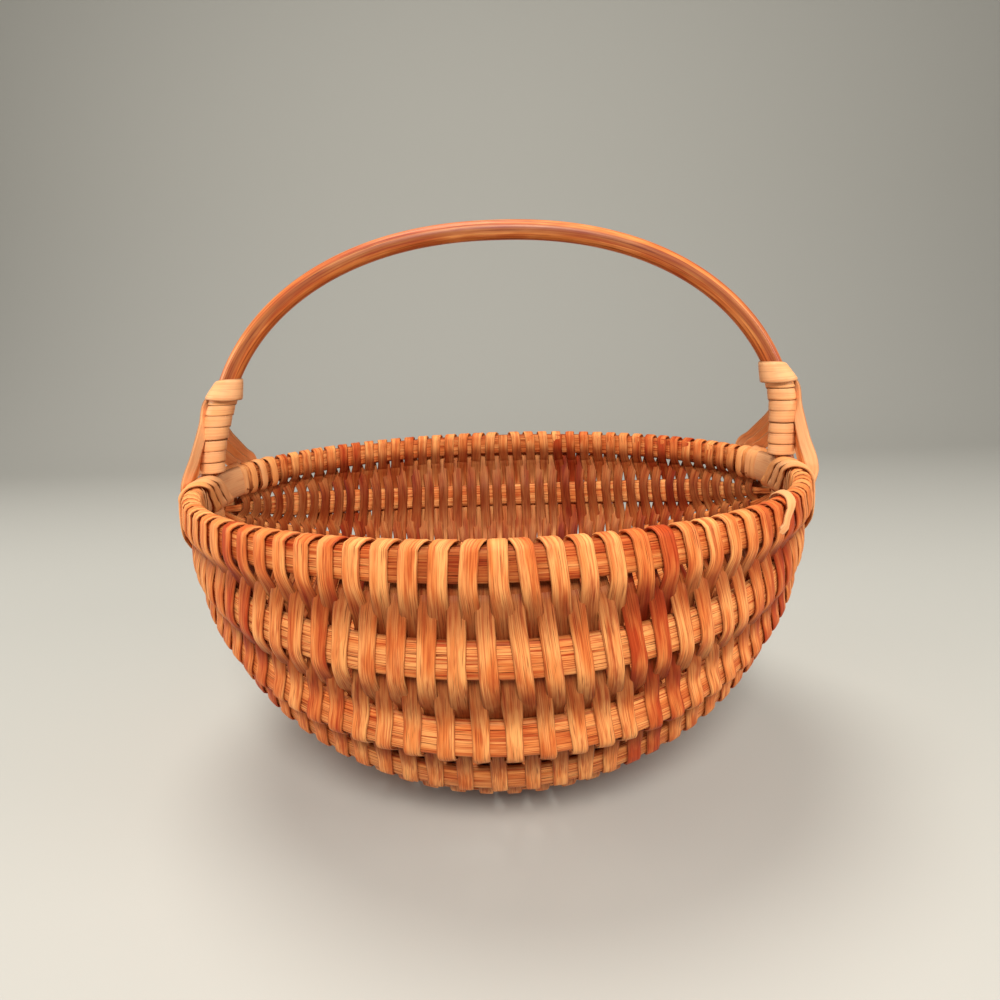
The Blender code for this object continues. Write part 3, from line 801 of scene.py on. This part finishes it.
class BASKET_OT_rim(bpy.types.Operator):
    """Make the rim hoop, a flat oval rod standing on edge"""

    bl_idname = "basket.rim"
    bl_label = "Rim Hoop"

    def execute(self, context):
        material = rattan_material("Sanded oval reed")
        stations = []
        steps = round(2 * pi * BOWL_RADIUS / context.scene.basket_rods.step)
        for i in range(steps):
            turn = 2 * pi * i / steps
            outward = Vector((cos(turn), sin(turn), 0))
            dark = RIM_DARKENING * smooth_step(RIM_DARKENING_FADE - abs(turn - RIM_DARKENING_TURN) / RIM_DARKENING_REACH)
            stations.append(
                Station(outward * BOWL_RADIUS + UP * RIM_Z, UP, outward, RIM_HEIGHT, RIM_THICK, dark)
            )
        reed_piece(
            "rim_rod", [(stations, 0.5)], material, "rim_hoop", "rim_rod", closed=True,
            sides=32, edge_sharpness=2.7, edge_spread=0.6, ridge_height=0.0003, ridge_pitch=0.0016,
        )
        return {"FINISHED"}


class BASKET_OT_ribs(bpy.types.Operator):
    """Make the ribs, flat oval rods that taper towards the ears"""

    bl_idname = "basket.ribs"
    bl_label = "Ribs"

    def execute(self, context):
        rods = context.scene.basket_rods
        material = rattan_material("Sanded oval reed")
        for index, (name, fan) in enumerate(zip(RIB_NAMES, RIB_FANS)):
            end = radians(KEEL_END_LATITUDE if fan == KEEL_FAN else RIB_END_LATITUDE)
            steps = round(2 * end * BOWL_RADIUS / rods.step)
            stations = []
            for i in range(steps + 1):
                latitude = end * (2 * i / steps - 1)
                width, thick = rib_size(latitude, rods)
                _, across, out = bowl_axes(latitude, fan)
                turned = across + out * tan(rib_turn(index, latitude))
                stations.append(Station(bowl_point(latitude, fan), turned.normalized(), out, width, thick))
            tone = 0.22 + 0.2 * ((index * 0.618) % 1)
            reed_piece(
                name + "_rod", [(stations, tone)], material, name, "rib_rod",
                sides=28, edge_sharpness=2.8, edge_spread=0.6, ridge_height=0.0003, ridge_pitch=0.0016,
            )
        return {"FINISHED"}


def bow_lean(rise):
    return BOW_LEAN * smooth_step(rise / BOW_LEAN_RISE)


def post_centre(side, rise):
    """Centre of the bow's rod at a height above its foot, on one side."""
    share = (min(max(rise, 0), BOW_RISE) / BOW_RISE) ** BOW_SQUARENESS
    reach = side * BOWL_RADIUS * (1 - share) ** (1 / BOW_SQUARENESS)
    return Vector((reach + bow_lean(rise), 0, BOW_FOOT_Z + rise))


def arch_point(turn):
    """Centre of the bow's rod; turn goes from 0 at the right foot to pi at the left one."""
    power = 2 / BOW_SQUARENESS
    rise = BOW_RISE * sin(turn) ** power
    side = 1 if cos(turn) > 0 else -1
    return Vector((side * BOWL_RADIUS * abs(cos(turn)) ** power + bow_lean(rise), 0, BOW_FOOT_Z + rise))


# Flat tongues at the bow's ends, and the height above its foot from which the rod is round
TONGUE_THICK = 0.0038
TONGUE_TIP_THICK = 0.002
TONGUE_TIP_WIDTH = 0.006
TONGUE_TOP_Z = RIM_HIGH.z - 0.001
ROD_FROM = 0.005
ARCH_STEPS = 60
TONGUE_X = BOWL_RADIUS + RIM_THICK / 2 + CLEAR + TONGUE_THICK / 2


def tongue_stations(side):
    """The rod's end, cut to a flat tongue that runs down outside the rim."""
    outward = Vector((side, 0, 0))
    low = RIM_LOW.z
    tip_x = BOWL_RADIUS * sqrt(1 - ((RIM_Z - TONGUE_TIP_Z) / BOWL_DEPTH) ** 2)
    tip_x += (RIB_TIP_THICK + TONGUE_TIP_THICK) / 2 + CLEAR
    return [
        Station((side * tip_x, 0, TONGUE_TIP_Z), ALONG_Y, outward, TONGUE_TIP_WIDTH, TONGUE_TIP_THICK),
        Station((side * TONGUE_X, 0, low), ALONG_Y, outward, BOW_ROD, TONGUE_THICK),
        Station((side * TONGUE_X, 0, TONGUE_TOP_Z), ALONG_Y, outward, BOW_ROD, TONGUE_THICK),
    ]


class BASKET_OT_handle(bpy.types.Operator):
    """Make the handle, a bow of smooth round rod"""

    bl_idname = "basket.handle"
    bl_label = "Handle Bow"

    def execute(self, context):
        material = rattan_material("Waxed round rattan")
        foot = (ROD_FROM / BOW_RISE) ** (BOW_SQUARENESS / 2)
        stations = tongue_stations(1)
        for i in range(ARCH_STEPS + 1):
            turn = foot + (pi - 2 * foot) * i / ARCH_STEPS
            ahead = arch_point(turn + SURFACE_STEP) - arch_point(turn - SURFACE_STEP)
            outward = ALONG_Y.cross(ahead).normalized()
            stations.append(Station(arch_point(turn), ALONG_Y, outward, BOW_ROD, BOW_ROD))
        stations += reversed(tongue_stations(-1))
        stations = smooth_reed(stations, context.scene.basket_rods.step)
        reed_piece(
            "handle_rod", [(stations, 0.5)], material, "handle_bow", "handle_rod",
            sides=32, edge_sharpness=2.0, edge_spread=1.0, ridge_height=0.00012, ridge_pitch=0.003,
        )
        return {"FINISHED"}


# Tone of each splint length from the left ear, from 0 for the palest to 1 for the reddest
WEAVER_TONES = (
    0.12, 0.45, 0.25, 0.40, 0.70, 0.40, 0.55, 0.25, 0.35, 0.25,
    0.30, 0.20, 0.80, 0.35, 0.35, 0.60, 0.80, 0.30, 0.25, 0.15,
)


class BASKET_OT_weavers(bpy.types.Operator):
    """Make the woven splints, one length after another from ear to ear"""

    bl_idname = "basket.weavers"
    bl_label = "Woven Splints"

    def execute(self, context):
        rods = context.scene.basket_rods
        weave = context.scene.basket_weave
        material = rattan_material("Dyed flat reed")
        first = 0
        for number in range(1, WEAVERS + 1):
            last = first + WEAVER_PASSES - (0 if first == 0 else 1)
            hand = Handwork(weave.seed * 100 + number)
            stations = smooth_reed(weaver_stations(first, last, rods, weave, hand), weave.step)
            reed_piece(
                f"splint_{number:02d}", [(stations, WEAVER_TONES[number - 1])], material,
                f"weaver_{number:02d}", "weaver_splint",
                sides=weave.sides, edge_sharpness=6.0, edge_spread=0.8, cup=0.0001,
                ridge_height=0.00007, ridge_pitch=0.0007,
            )
            first = last + 1
        return {"FINISHED"}


def wound(frame_at, outline, places, thick, tilt, share=1.03, steps=28, level=False):
    """Stations of a splint wound round a rod; places are where along the rod each whole turn begins.

    A level turn steps on to the next one at the back, so that its front lies straight across.
    """
    stations = []
    for i in range((len(places) - 1) * steps + 1):
        turn = min(i // steps, len(places) - 2)
        pitch = places[turn + 1] - places[turn]
        gone = i / steps - turn
        stepped = smooth_step(2 * gone) if level else gone
        centre, u_axis, v_axis, axis = frame_at(places[turn] + pitch * stepped)
        angle = 2 * pi * i / steps
        u, v = outline(angle)
        u_next, v_next = outline(angle + SURFACE_STEP)
        spoke = u_axis * u + v_axis * v
        ahead = u_axis * (u_next - u) + v_axis * (v_next - v)
        face = ahead.cross(axis).normalized()
        if face.dot(spoke) < 0:
            face.negate()
        across = (axis + face * tilt).normalized()
        stations.append(Station(centre + spoke, across, face, abs(pitch) * share, thick))
    return square_axes(stations)


def oval(half_u, half_v, sharpness):
    """Outline of a superellipse, as a function of the angle round it."""

    def point(angle):
        c, s = cos(angle), sin(angle)
        reach = (abs(c) ** sharpness + abs(s) ** sharpness) ** (-1 / sharpness)
        return half_u * c * reach, half_v * s * reach

    return point


def uneven(start, end, turns, hand):
    """Places of the turns of a winding, a little uneven as by hand."""
    sizes = [hand.uniform(0.86, 1.14) for _ in range(turns)]
    places = [start]
    for size in sizes:
        places.append(places[-1] + (end - start) * size / sum(sizes))
    return places


def rim_spot(side, face, arc, out, up):
    """Point beside the rim at an arc from the ear, with the ways outwards and away from the ear."""
    turn = arc / BOWL_RADIUS
    outward = Vector((side * cos(turn), face * sin(turn), 0))
    along = Vector((-side * sin(turn), face * cos(turn), 0))
    return outward * (BOWL_RADIUS + out) + UP * (RIM_Z + up), outward, along


class BASKET_OT_lashing(bpy.types.Operator):
    """Wind the feet of the bow, the rim beside them and the keel's tips, and lay the web over each ear"""

    bl_idname = "basket.lashing"
    bl_label = "Ear Lashing"

    def execute(self, context):
        lashing = context.scene.basket_lashing
        for prefix, side in (("left", LEFT), ("right", RIGHT)):
            hand = random.Random(lashing.seed * 10 + side)
            post_winding(prefix, side, lashing, hand)
            for face, word in ((FRONT, "front"), (BACK, "back")):
                rim_winding(f"{prefix}_{word}", side, face, lashing, hand)
            saddle(prefix, side, lashing)
            keel_winding(prefix, side, lashing, hand)
            ear_web(prefix, side, lashing, hand)
        return {"FINISHED"}


def lashing_piece(name, reeds, node):
    reed_piece(
        name, reeds, rattan_material("Smooth flat reed"), node, "lashing_splint",
        sides=16, edge_sharpness=5.0, edge_spread=0.8, cup=0.0001, ridge_height=0.00006, ridge_pitch=0.0009,
    )


# Windings: their gap to what they bind, and on the bow's foot the first turn, how each leans over the one
# below, and the collar, which starts a second turn to cover its own end
WINDING_SLACK = 0.0006
POST_START = 0.0004
POST_LEAN = -0.09
COLLAR_WIDTH = 0.0098
COLLAR_RISE = 0.0408
COLLAR_OVERLAP = 0.42
COLLAR_FLARE = 0.27
COLLAR_LIFT = 0.0011
COLLAR_STEPS = (0, 0.0004, 0.0005)
COLLAR_STATIONS = 34


def post_winding(prefix, side, lashing, hand):
    """Close turns up the foot of the bow, each over the one below, and the wide flared collar on top."""

    def frame_at(rise):
        here = post_centre(side, rise)
        ahead = (post_centre(side, rise + SURFACE_STEP) - here).normalized()
        return here, Vector((side, 0, 0)), ALONG_Y, ahead

    radius = BOW_ROD / 2 + WINDING_SLACK + lashing.thick
    places = uneven(POST_START, COLLAR_RISE - COLLAR_WIDTH * COLLAR_OVERLAP, lashing.post_turns, hand)
    turns = wound(frame_at, oval(radius, radius, 2), places, lashing.thick, POST_LEAN, level=True)
    outline = oval(radius + COLLAR_LIFT, radius + COLLAR_LIFT, 2)
    collar_places = [COLLAR_RISE + step for step in COLLAR_STEPS]
    collar = wound(frame_at, outline, collar_places, lashing.thick, -COLLAR_FLARE)[:COLLAR_STATIONS]
    for station in collar:
        station.width = COLLAR_WIDTH
    lashing_piece(f"{prefix}_post_turns", [(turns, 0.2), (collar, 0.1)], f"{prefix}_post_wrap")


# For each side and face: where the saddle ends, where the close turns end, and where extra turns lie over the
# first woven splints
RIM_WINDING = {
    (LEFT, FRONT): (0.0200, 0.0300, ()),
    (RIGHT, FRONT): (0.0180, 0.0300, ()),
    (LEFT, BACK): (0.0255, 0.0300, (0.0354, 0.0444, 0.0534)),
    (RIGHT, BACK): (0.0200, 0.0300, (0.0354,)),
}


RIM_TURN_PITCH = 0.0045
EXTRA_TURN_PITCH = 0.0042
EXTRA_OUT = 0.0009
EXTRA_UP = 0.0008


def rim_winding(prefix, side, face, lashing, hand):
    """Close turns along the rim beside the saddle."""
    start, end, extra = RIM_WINDING[side, face]

    def frame_at(arc):
        centre, outward, along = rim_spot(side, face, arc, 0, 0)
        return centre, outward, UP, along

    out = lashing.thick / 2 + WINDING_SLACK
    outline = oval(RIM_THICK / 2 + out, RIM_HEIGHT / 2 + out, 3)
    turns = max(1, round((end - start) / RIM_TURN_PITCH))
    reeds = [(wound(frame_at, outline, uneven(start, end, turns, hand), lashing.thick, 0.2, 0.98), 0.3)]
    wide = oval(RIM_THICK / 2 + out + EXTRA_OUT, RIM_HEIGHT / 2 + out + EXTRA_UP, 2.4)
    for arc in extra:
        places = [arc - EXTRA_TURN_PITCH / 2, arc + EXTRA_TURN_PITCH / 2]
        turn = wound(frame_at, wide, places, lashing.thick, 0.1, 1.1)
        reeds.append((turn, hand.uniform(0.2, 0.6)))
    lashing_piece(f"{prefix}_rim_turns", reeds, f"{prefix}_rim_wrap")


# The saddle laps past the first close turns and stands a little off the rim's inside and top
SADDLE_LAP = 0.0012
SADDLE_STEPS = 32


def saddle(prefix, side, lashing):
    """The smooth band that covers the rim under the foot of the bow."""
    front, back = RIM_WINDING[side, FRONT][0], RIM_WINDING[side, BACK][0]
    inside = RIM_THICK / 2 + lashing.thick + CLEAR
    outside = RIM_THICK / 2 + 0.0002
    height = RIM_HEIGHT + 2 * lashing.thick + 0.0012
    stations = []
    for i in range(SADDLE_STEPS + 1):
        arc = front + SADDLE_LAP - (front + back + 2 * SADDLE_LAP) * i / SADDLE_STEPS
        face = FRONT if arc > 0 else BACK
        centre, outward, _ = rim_spot(side, face, abs(arc), (outside - inside) / 2, 0.0)
        stations.append(Station(centre, UP, outward, height, outside + inside))
    material = rattan_material("Smooth flat reed")
    reed_piece(
        f"{prefix}_saddle", [(square_axes(stations), 0.0)], material, None, "lashing_splint",
        sides=32, edge_sharpness=2.4, edge_spread=0.9,
    )


# Turns on the keel's tip: from and to below the rim's middle, how many, their half sizes, and how far out
KEEL_FROM = 0.0085
KEEL_TO = 0.0250
KEEL_TURNS = 4
KEEL_HALF_OUT = 0.0050
KEEL_HALF_WIDTH = 0.0058
KEEL_STAND = 0.0024


def keel_winding(prefix, side, lashing, hand):
    """Turns round the keel's tip and the tongue on it."""

    def frame_at(depth):
        keel = BOWL_RADIUS * sqrt(1 - (depth / BOWL_DEPTH) ** 2)
        centre = Vector((side * (keel + KEEL_STAND), 0, RIM_Z - depth))
        return centre, Vector((side, 0, 0)), ALONG_Y, -UP

    places = uneven(KEEL_FROM, KEEL_TO, KEEL_TURNS, hand)
    turns = wound(frame_at, oval(KEEL_HALF_OUT, KEEL_HALF_WIDTH, 2.3), places, lashing.thick, 0.1)
    lashing_piece(f"{prefix}_keel_turns", [(turns, 0.35)], f"{prefix}_keel_wrap")


def laid(points, thick):
    """A splint that lies with its face turned as given at each point; points are centre, face and width."""
    stations = []
    for i, (centre, face, width) in enumerate(points):
        ahead = points[min(i + 1, len(points) - 1)][0] - points[max(i - 1, 0)][0]
        stations.append(Station(centre, ahead.cross(face).normalized(), face, width, thick))
    return smooth_reed(stations, 0.0015)


def bowl_side(side, face, ahead, down, lift):
    """Point on the bowl's outside ahead of an ear's tip and down from the rim's middle, and the way out."""
    reach = BOWL_RADIUS * sqrt(1 - (ahead / BOWL_RADIUS) ** 2 - (down / BOWL_DEPTH) ** 2)
    out = Vector((side * reach / BOWL_RADIUS, face * ahead / BOWL_RADIUS, -down / BOWL_DEPTH)).normalized()
    return Vector((side * reach, face * ahead, RIM_Z - down)) + out * lift, out


def web_bow_side(side, face, rise, arc, bulge, lift, width, thick):
    """Splint from under the turns on the bow's foot, slanting down outside to the rim and on to the keel."""
    reach = BOW_ROD / 2 + WINDING_SLACK + thick * 1.5
    # Round the bow: degrees from the way outwards, height above the rise, and distance out
    if face == FRONT:
        foot = ((-105, 0.0025, -0.0006), (-60, 0.0018, lift * 0.5), (-20, -0.0020, lift))
    else:
        foot = ((0, 0.0010, -0.0026), (40, 0, lift * 0.5), (70, -0.0020, lift))
    points = []
    for degrees, above, out in foot:
        spoke = Vector((side * cos(radians(degrees)), face * sin(radians(degrees)), 0))
        points.append((post_centre(side, rise + above) + spoke * (reach + out), spoke, width))
    leave, leave_face, _ = points[-1]
    turned = Vector((side, -face * WEB_TURN[side], 0)).normalized() if face == FRONT else leave_face
    stand = width * 0.5 * abs(turned.y) if face == FRONT else 0
    rim, outward, _ = rim_spot(side, face, arc, RIM_THICK / 2 + thick * 1.5 + lift + stand, 0.0050)
    for share in (0.3, 0.65):
        bow = Vector((side * bulge * 4 * share * (1 - share), 0, 0))
        points.append((leave.lerp(rim, share) + bow, leave_face.lerp(turned, share), width))
    points.append((rim, turned if face == FRONT else outward, width))
    low = rim_spot(side, face, arc + 0.001, RIM_THICK / 2 + thick * 1.5 + lift, -0.0060)[0]
    points.append((low, outward, width * 0.9))
    # Down the bowl: distance ahead of the ear, down from the rim's middle, and out from the ribs
    below = ((arc * 0.8, 0.0150, 0.0042), (arc * 0.42, 0.0240, 0.0046), (0.0030, 0.0285, 0.0030))
    for ahead, down, above in below:
        centre, out = bowl_side(side, face, ahead, down, above + lift * 0.6)
        points.append((centre, out, width * 0.8))
    return laid(points, thick)


# Ways over the rim, as share of the way along it, and how far out and up: round it from below, or from its
# top, and down to an end that hangs loose
ROUND_RIM = (
    (0.0, -0.3, -1.06), (0.07, -0.84, -0.86), (0.15, -1.0, -0.45), (0.32, -1.0, 0.45), (0.44, -0.84, 0.86),
)
OVER_RIM = ((0.6, 0, 1.06), (0.76, 0.84, 0.84), (0.9, 1.0, 0.4))
FROM_RIM_TOP = ((0.5, 0, 0.86), (0.6, 0.5, 0.98), (0.76, 0.84, 0.84), (0.9, 1.0, 0.4))
LOOSE_END = ((1.0, 1.0, 0.15), (1.05, 1.0, -0.15), (1.25, 0.8, -0.35))


# How far the loops stand off the rim to clear the saddle, and the least arc along the rim of a looping splint
OVER_SADDLE = 0.0011
LOOP_ARC = 0.010


def web_keel_side(side, face, inner_arc, outer_arc, depth, lift, width, thick):
    """Splint that slants over the rim and down outside to the keel's tip.

    Without a depth its end hangs loose.
    """
    beside = RIM_THICK / 2 + OVER_SADDLE + lift + thick / 2
    above = RIM_HEIGHT / 2 + OVER_SADDLE + lift + thick / 2
    loops = outer_arc - inner_arc > LOOP_ARC
    way = ROUND_RIM + OVER_RIM if loops else FROM_RIM_TOP
    points = []
    for share, out, up in way if depth else way + LOOSE_END:
        arc = inner_arc + (outer_arc - inner_arc) * share
        centre, outward, _ = rim_spot(side, face, arc, beside * out, above * up)
        normal = outward * out + UP * (0 if abs(out) == 1 else up)
        points.append((centre, normal.normalized(), width))
    if not depth:
        return laid(points, thick)
    low, outward, _ = rim_spot(side, face, outer_arc, beside, -0.0065)
    points.append((low, outward, width))
    for share, down, rise in ((0.82, 0.55, 0.0036), (0.45, 0.88, 0.0038)):
        centre, out = bowl_side(side, face, outer_arc * share, depth * down, rise + lift)
        points.append((centre, out, width * 0.9))
    centre, out = bowl_side(side, face, 0.0010, depth, 0.0078 + lift * 0.3)
    points.append((centre, out, width * 0.85))
    end = bowl_side(side, face, -0.0062, depth, 0.0035)[0]
    points.append((end, Vector((side * 0.3, -face, 0)), width * 0.8))
    return laid(points, thick)


# How far the outer splints of a web stand edgeways to the front; the right ear's show their face
WEB_TURN = {LEFT: 0.15, RIGHT: 0.75}
WEB_BOW_SIDE = (
    # face, height on the bow, arc along the rim, bulge, lift, width share, tone
    # On the front, the outermost splint's pale tone is painted light, and the deep tones of the two splints
    # nested inside it are painted shade
    (FRONT, 0.0372, 0.0230, -0.0003, 0.0012, 1.3, 0.0),
    (FRONT, 0.0310, 0.0205, -0.0003, 0.0008, 1.0, 0.8),
    (FRONT, 0.0240, 0.0180, -0.0002, 0.0005, 1.0, 0.9),
    (FRONT, 0.0170, 0.0150, 0.0, 0.0002, 0.9, 0.3),
    (BACK, 0.0265, 0.0500, 0.0, 0.0020, 1.1, 0.2),
    (BACK, 0.0215, 0.0430, 0.0, 0.0014, 1.1, 0.4),
    (BACK, 0.0165, 0.0360, 0.0, 0.0008, 1.1, 0.3),
)
WEB_KEEL_SIDE = (
    # face, arc where it starts on the rim, arc outside, depth on the keel, lift
    (FRONT, 0.0090, 0.0120, 0.0140, 0.0002),
    (FRONT, 0.0135, 0.0168, 0.0172, 0.0004),
    (FRONT, 0.0180, 0.0216, 0.0204, 0.0006),
    (FRONT, 0.0225, 0.0264, 0.0236, 0.0008),
    (FRONT, -0.0120, 0.0310, 0.0270, 0.0003),
    (FRONT, -0.0030, 0.0400, 0.0250, 0.0004),
    (FRONT, 0.0060, 0.0490, 0.0230, 0.0005),
    (BACK, 0.0090, 0.0110, 0.0140, 0.0002),
    (BACK, 0.0135, 0.0158, 0.0172, 0.0004),
    (BACK, 0.0180, 0.0206, 0.0204, 0.0006),
    (BACK, 0.0225, 0.0254, 0.0236, 0.0008),
    (BACK, 0.0270, 0.0302, 0.0268, 0.0010),
)


def ear_web(prefix, side, lashing, hand):
    """Slanting splints over the outside of an ear: bow to rim above, rim to keel below."""
    reeds = []
    for face, rise, arc, bulge, lift, share, tone in WEB_BOW_SIDE:
        reed = web_bow_side(side, face, rise, arc, bulge, lift, lashing.width * share, lashing.thick)
        reeds.append((reed, tone))
    for face, inner_arc, outer_arc, depth, lift in WEB_KEEL_SIDE:
        reed = web_keel_side(side, face, inner_arc, outer_arc, depth, lift, lashing.width, lashing.thick)
        reeds.append((reed, hand.uniform(0.1, 0.5)))
    if side == RIGHT:
        # One strip end that has come loose
        reed = web_keel_side(side, FRONT, 0.0830, 0.1010, 0, 0.0007, lashing.width, lashing.thick)
        reeds.append((reed, 0.2))
    lashing_piece(f"{prefix}_web_splints", reeds, f"{prefix}_ear_web")


class BASKET_OT_stage(bpy.types.Operator):
    """Set the camera, the pale floor and the soft studio light"""

    bl_idname = "basket.stage"
    bl_label = "Stage"

    def execute(self, context):
        stage = context.scene.basket_stage
        make_camera(context, stage)
        make_floor(stage)
        make_lights(context)
        context.scene.view_settings.view_transform = "Standard"
        return {"FINISHED"}


def make_camera(context, stage):
    data = bpy.data.cameras.new("Camera")
    data.lens = stage.lens
    data.sensor_width = 36
    camera = bpy.data.objects.new("Camera", data)
    context.scene.collection.objects.link(camera)
    pitch = Matrix.Rotation(pi / 2 - stage.pitch, 4, "X")
    roll = Matrix.Rotation(-stage.roll, 4, "Z")
    place = Matrix.Translation((stage.shift, -stage.distance, RIM_Z + stage.height))
    camera.matrix_world = place @ pitch @ roll
    data.clip_start = 0.01
    context.scene.camera = camera


# Floor, whose far end bends up into a backdrop: half its width, its near edge, and the backdrop
FLOOR_HALF = 3.0
FLOOR_NEAR = -2.5
BACKDROP_Y = 1.5
BACKDROP_TOP = 2.5
BACKDROP_BEND = 0.6
BEND_STEPS = 12


def make_floor(stage):
    """Floor that curves up into a backdrop."""
    profile = [(FLOOR_NEAR, 0.0)]
    for i in range(BEND_STEPS + 1):
        turn = pi / 2 * i / BEND_STEPS
        profile.append((BACKDROP_Y - BACKDROP_BEND * (1 - sin(turn)), BACKDROP_BEND * (1 - cos(turn))))
    profile.append((BACKDROP_Y, BACKDROP_TOP))
    points = [(x, y, z) for x in (-FLOOR_HALF, FLOOR_HALF) for y, z in profile]
    count = len(profile)
    mesh = bpy.data.meshes.new("floor")
    mesh.from_pydata(points, [], [(i, i + count, i + count + 1, i + 1) for i in range(count - 1)])
    mesh.shade_smooth()
    # Matt paper: no gloss, so that the floor shows only the basket's soft shadow
    material = bpy.data.materials.new("Matt paper backdrop")
    material.use_nodes = True
    shader = material.node_tree.nodes["Principled BSDF"]
    shader.inputs["Base Color"].default_value = linear(stage.floor)
    shader.inputs["Roughness"].default_value = 0.9
    mesh.materials.append(material)
    floor = bpy.data.objects.new("floor", mesh)
    bpy.context.scene.collection.objects.link(floor)


# Soft round lamps, all turned to the middle of the basket: name, place, width, watts and colour
LAMPS = (
    ("Overhead", (-0.20, 0.05, 1.5), 0.7, 14, (1.0, 0.98, 0.94)),
    ("Front", (0.03, -1.15, 1.02), 0.45, 21, (1.0, 0.98, 0.95)),
    ("Left", (-1.3, -0.05, 0.40), 0.6, 7, (1.0, 0.98, 0.96)),
    ("Right", (1.2, -0.45, 0.55), 0.6, 7, (1.0, 0.98, 0.96)),
)
LAMP_TARGET = Vector((0, 0, 0.12))
WORLD_COLOUR = (1.0, 0.98, 0.95, 1)
WORLD_STRENGTH = 0.20


def make_lights(context):
    world = bpy.data.worlds.new("World")
    world.use_nodes = True
    background = world.node_tree.nodes["Background"]
    background.inputs["Color"].default_value = WORLD_COLOUR
    background.inputs["Strength"].default_value = WORLD_STRENGTH
    context.scene.world = world
    for name, place, width, watts, colour in LAMPS:
        data = bpy.data.lights.new(name, "AREA")
        data.shape = "DISK"
        data.size = width
        data.energy = watts
        data.color = colour
        lamp = bpy.data.objects.new(name, data)
        lamp.location = place
        lamp.rotation_euler = (LAMP_TARGET - lamp.location).to_track_quat("-Z", "Y").to_euler()
        context.scene.collection.objects.link(lamp)


GROUPS = {
    "basket_rods": BasketRods,
    "basket_weave": BasketWeave,
    "basket_lashing": BasketLashing,
    "basket_finish": BasketFinish,
    "basket_stage": BasketStage,
}
OPERATORS = (
    BASKET_OT_stage, BASKET_OT_rim, BASKET_OT_ribs, BASKET_OT_handle, BASKET_OT_weavers, BASKET_OT_lashing,
)


class BASKET_PT_panel(bpy.types.Panel):
    """The basket's pieces and sizes"""

    bl_idname = "BASKET_PT_panel"
    bl_label = "Ribbed Basket"
    bl_space_type = "VIEW_3D"
    bl_region_type = "UI"
    bl_category = "Basket"

    def draw(self, context):
        for operator in OPERATORS:
            self.layout.operator(operator.bl_idname)
        for group in GROUPS:
            settings = getattr(context.scene, group)
            box = self.layout.box()
            for name in settings.bl_rna.properties.keys():
                if name not in ("rna_type", "name"):
                    box.prop(settings, name)


CLASSES = (*GROUPS.values(), *OPERATORS, BASKET_PT_panel)


def register():
    for item in CLASSES:
        bpy.utils.register_class(item)
    for name, group in GROUPS.items():
        setattr(bpy.types.Scene, name, bpy.props.PointerProperty(type=group))


def unregister():
    for name in GROUPS:
        delattr(bpy.types.Scene, name)
    for item in reversed(CLASSES):
        bpy.utils.unregister_class(item)


def main():
    register()
    bpy.ops.basket.stage()
    bpy.ops.basket.rim()
    bpy.ops.basket.ribs()
    bpy.ops.basket.handle()
    bpy.ops.basket.weavers()
    bpy.ops.basket.lashing()


if __name__ == "__main__":
    main()
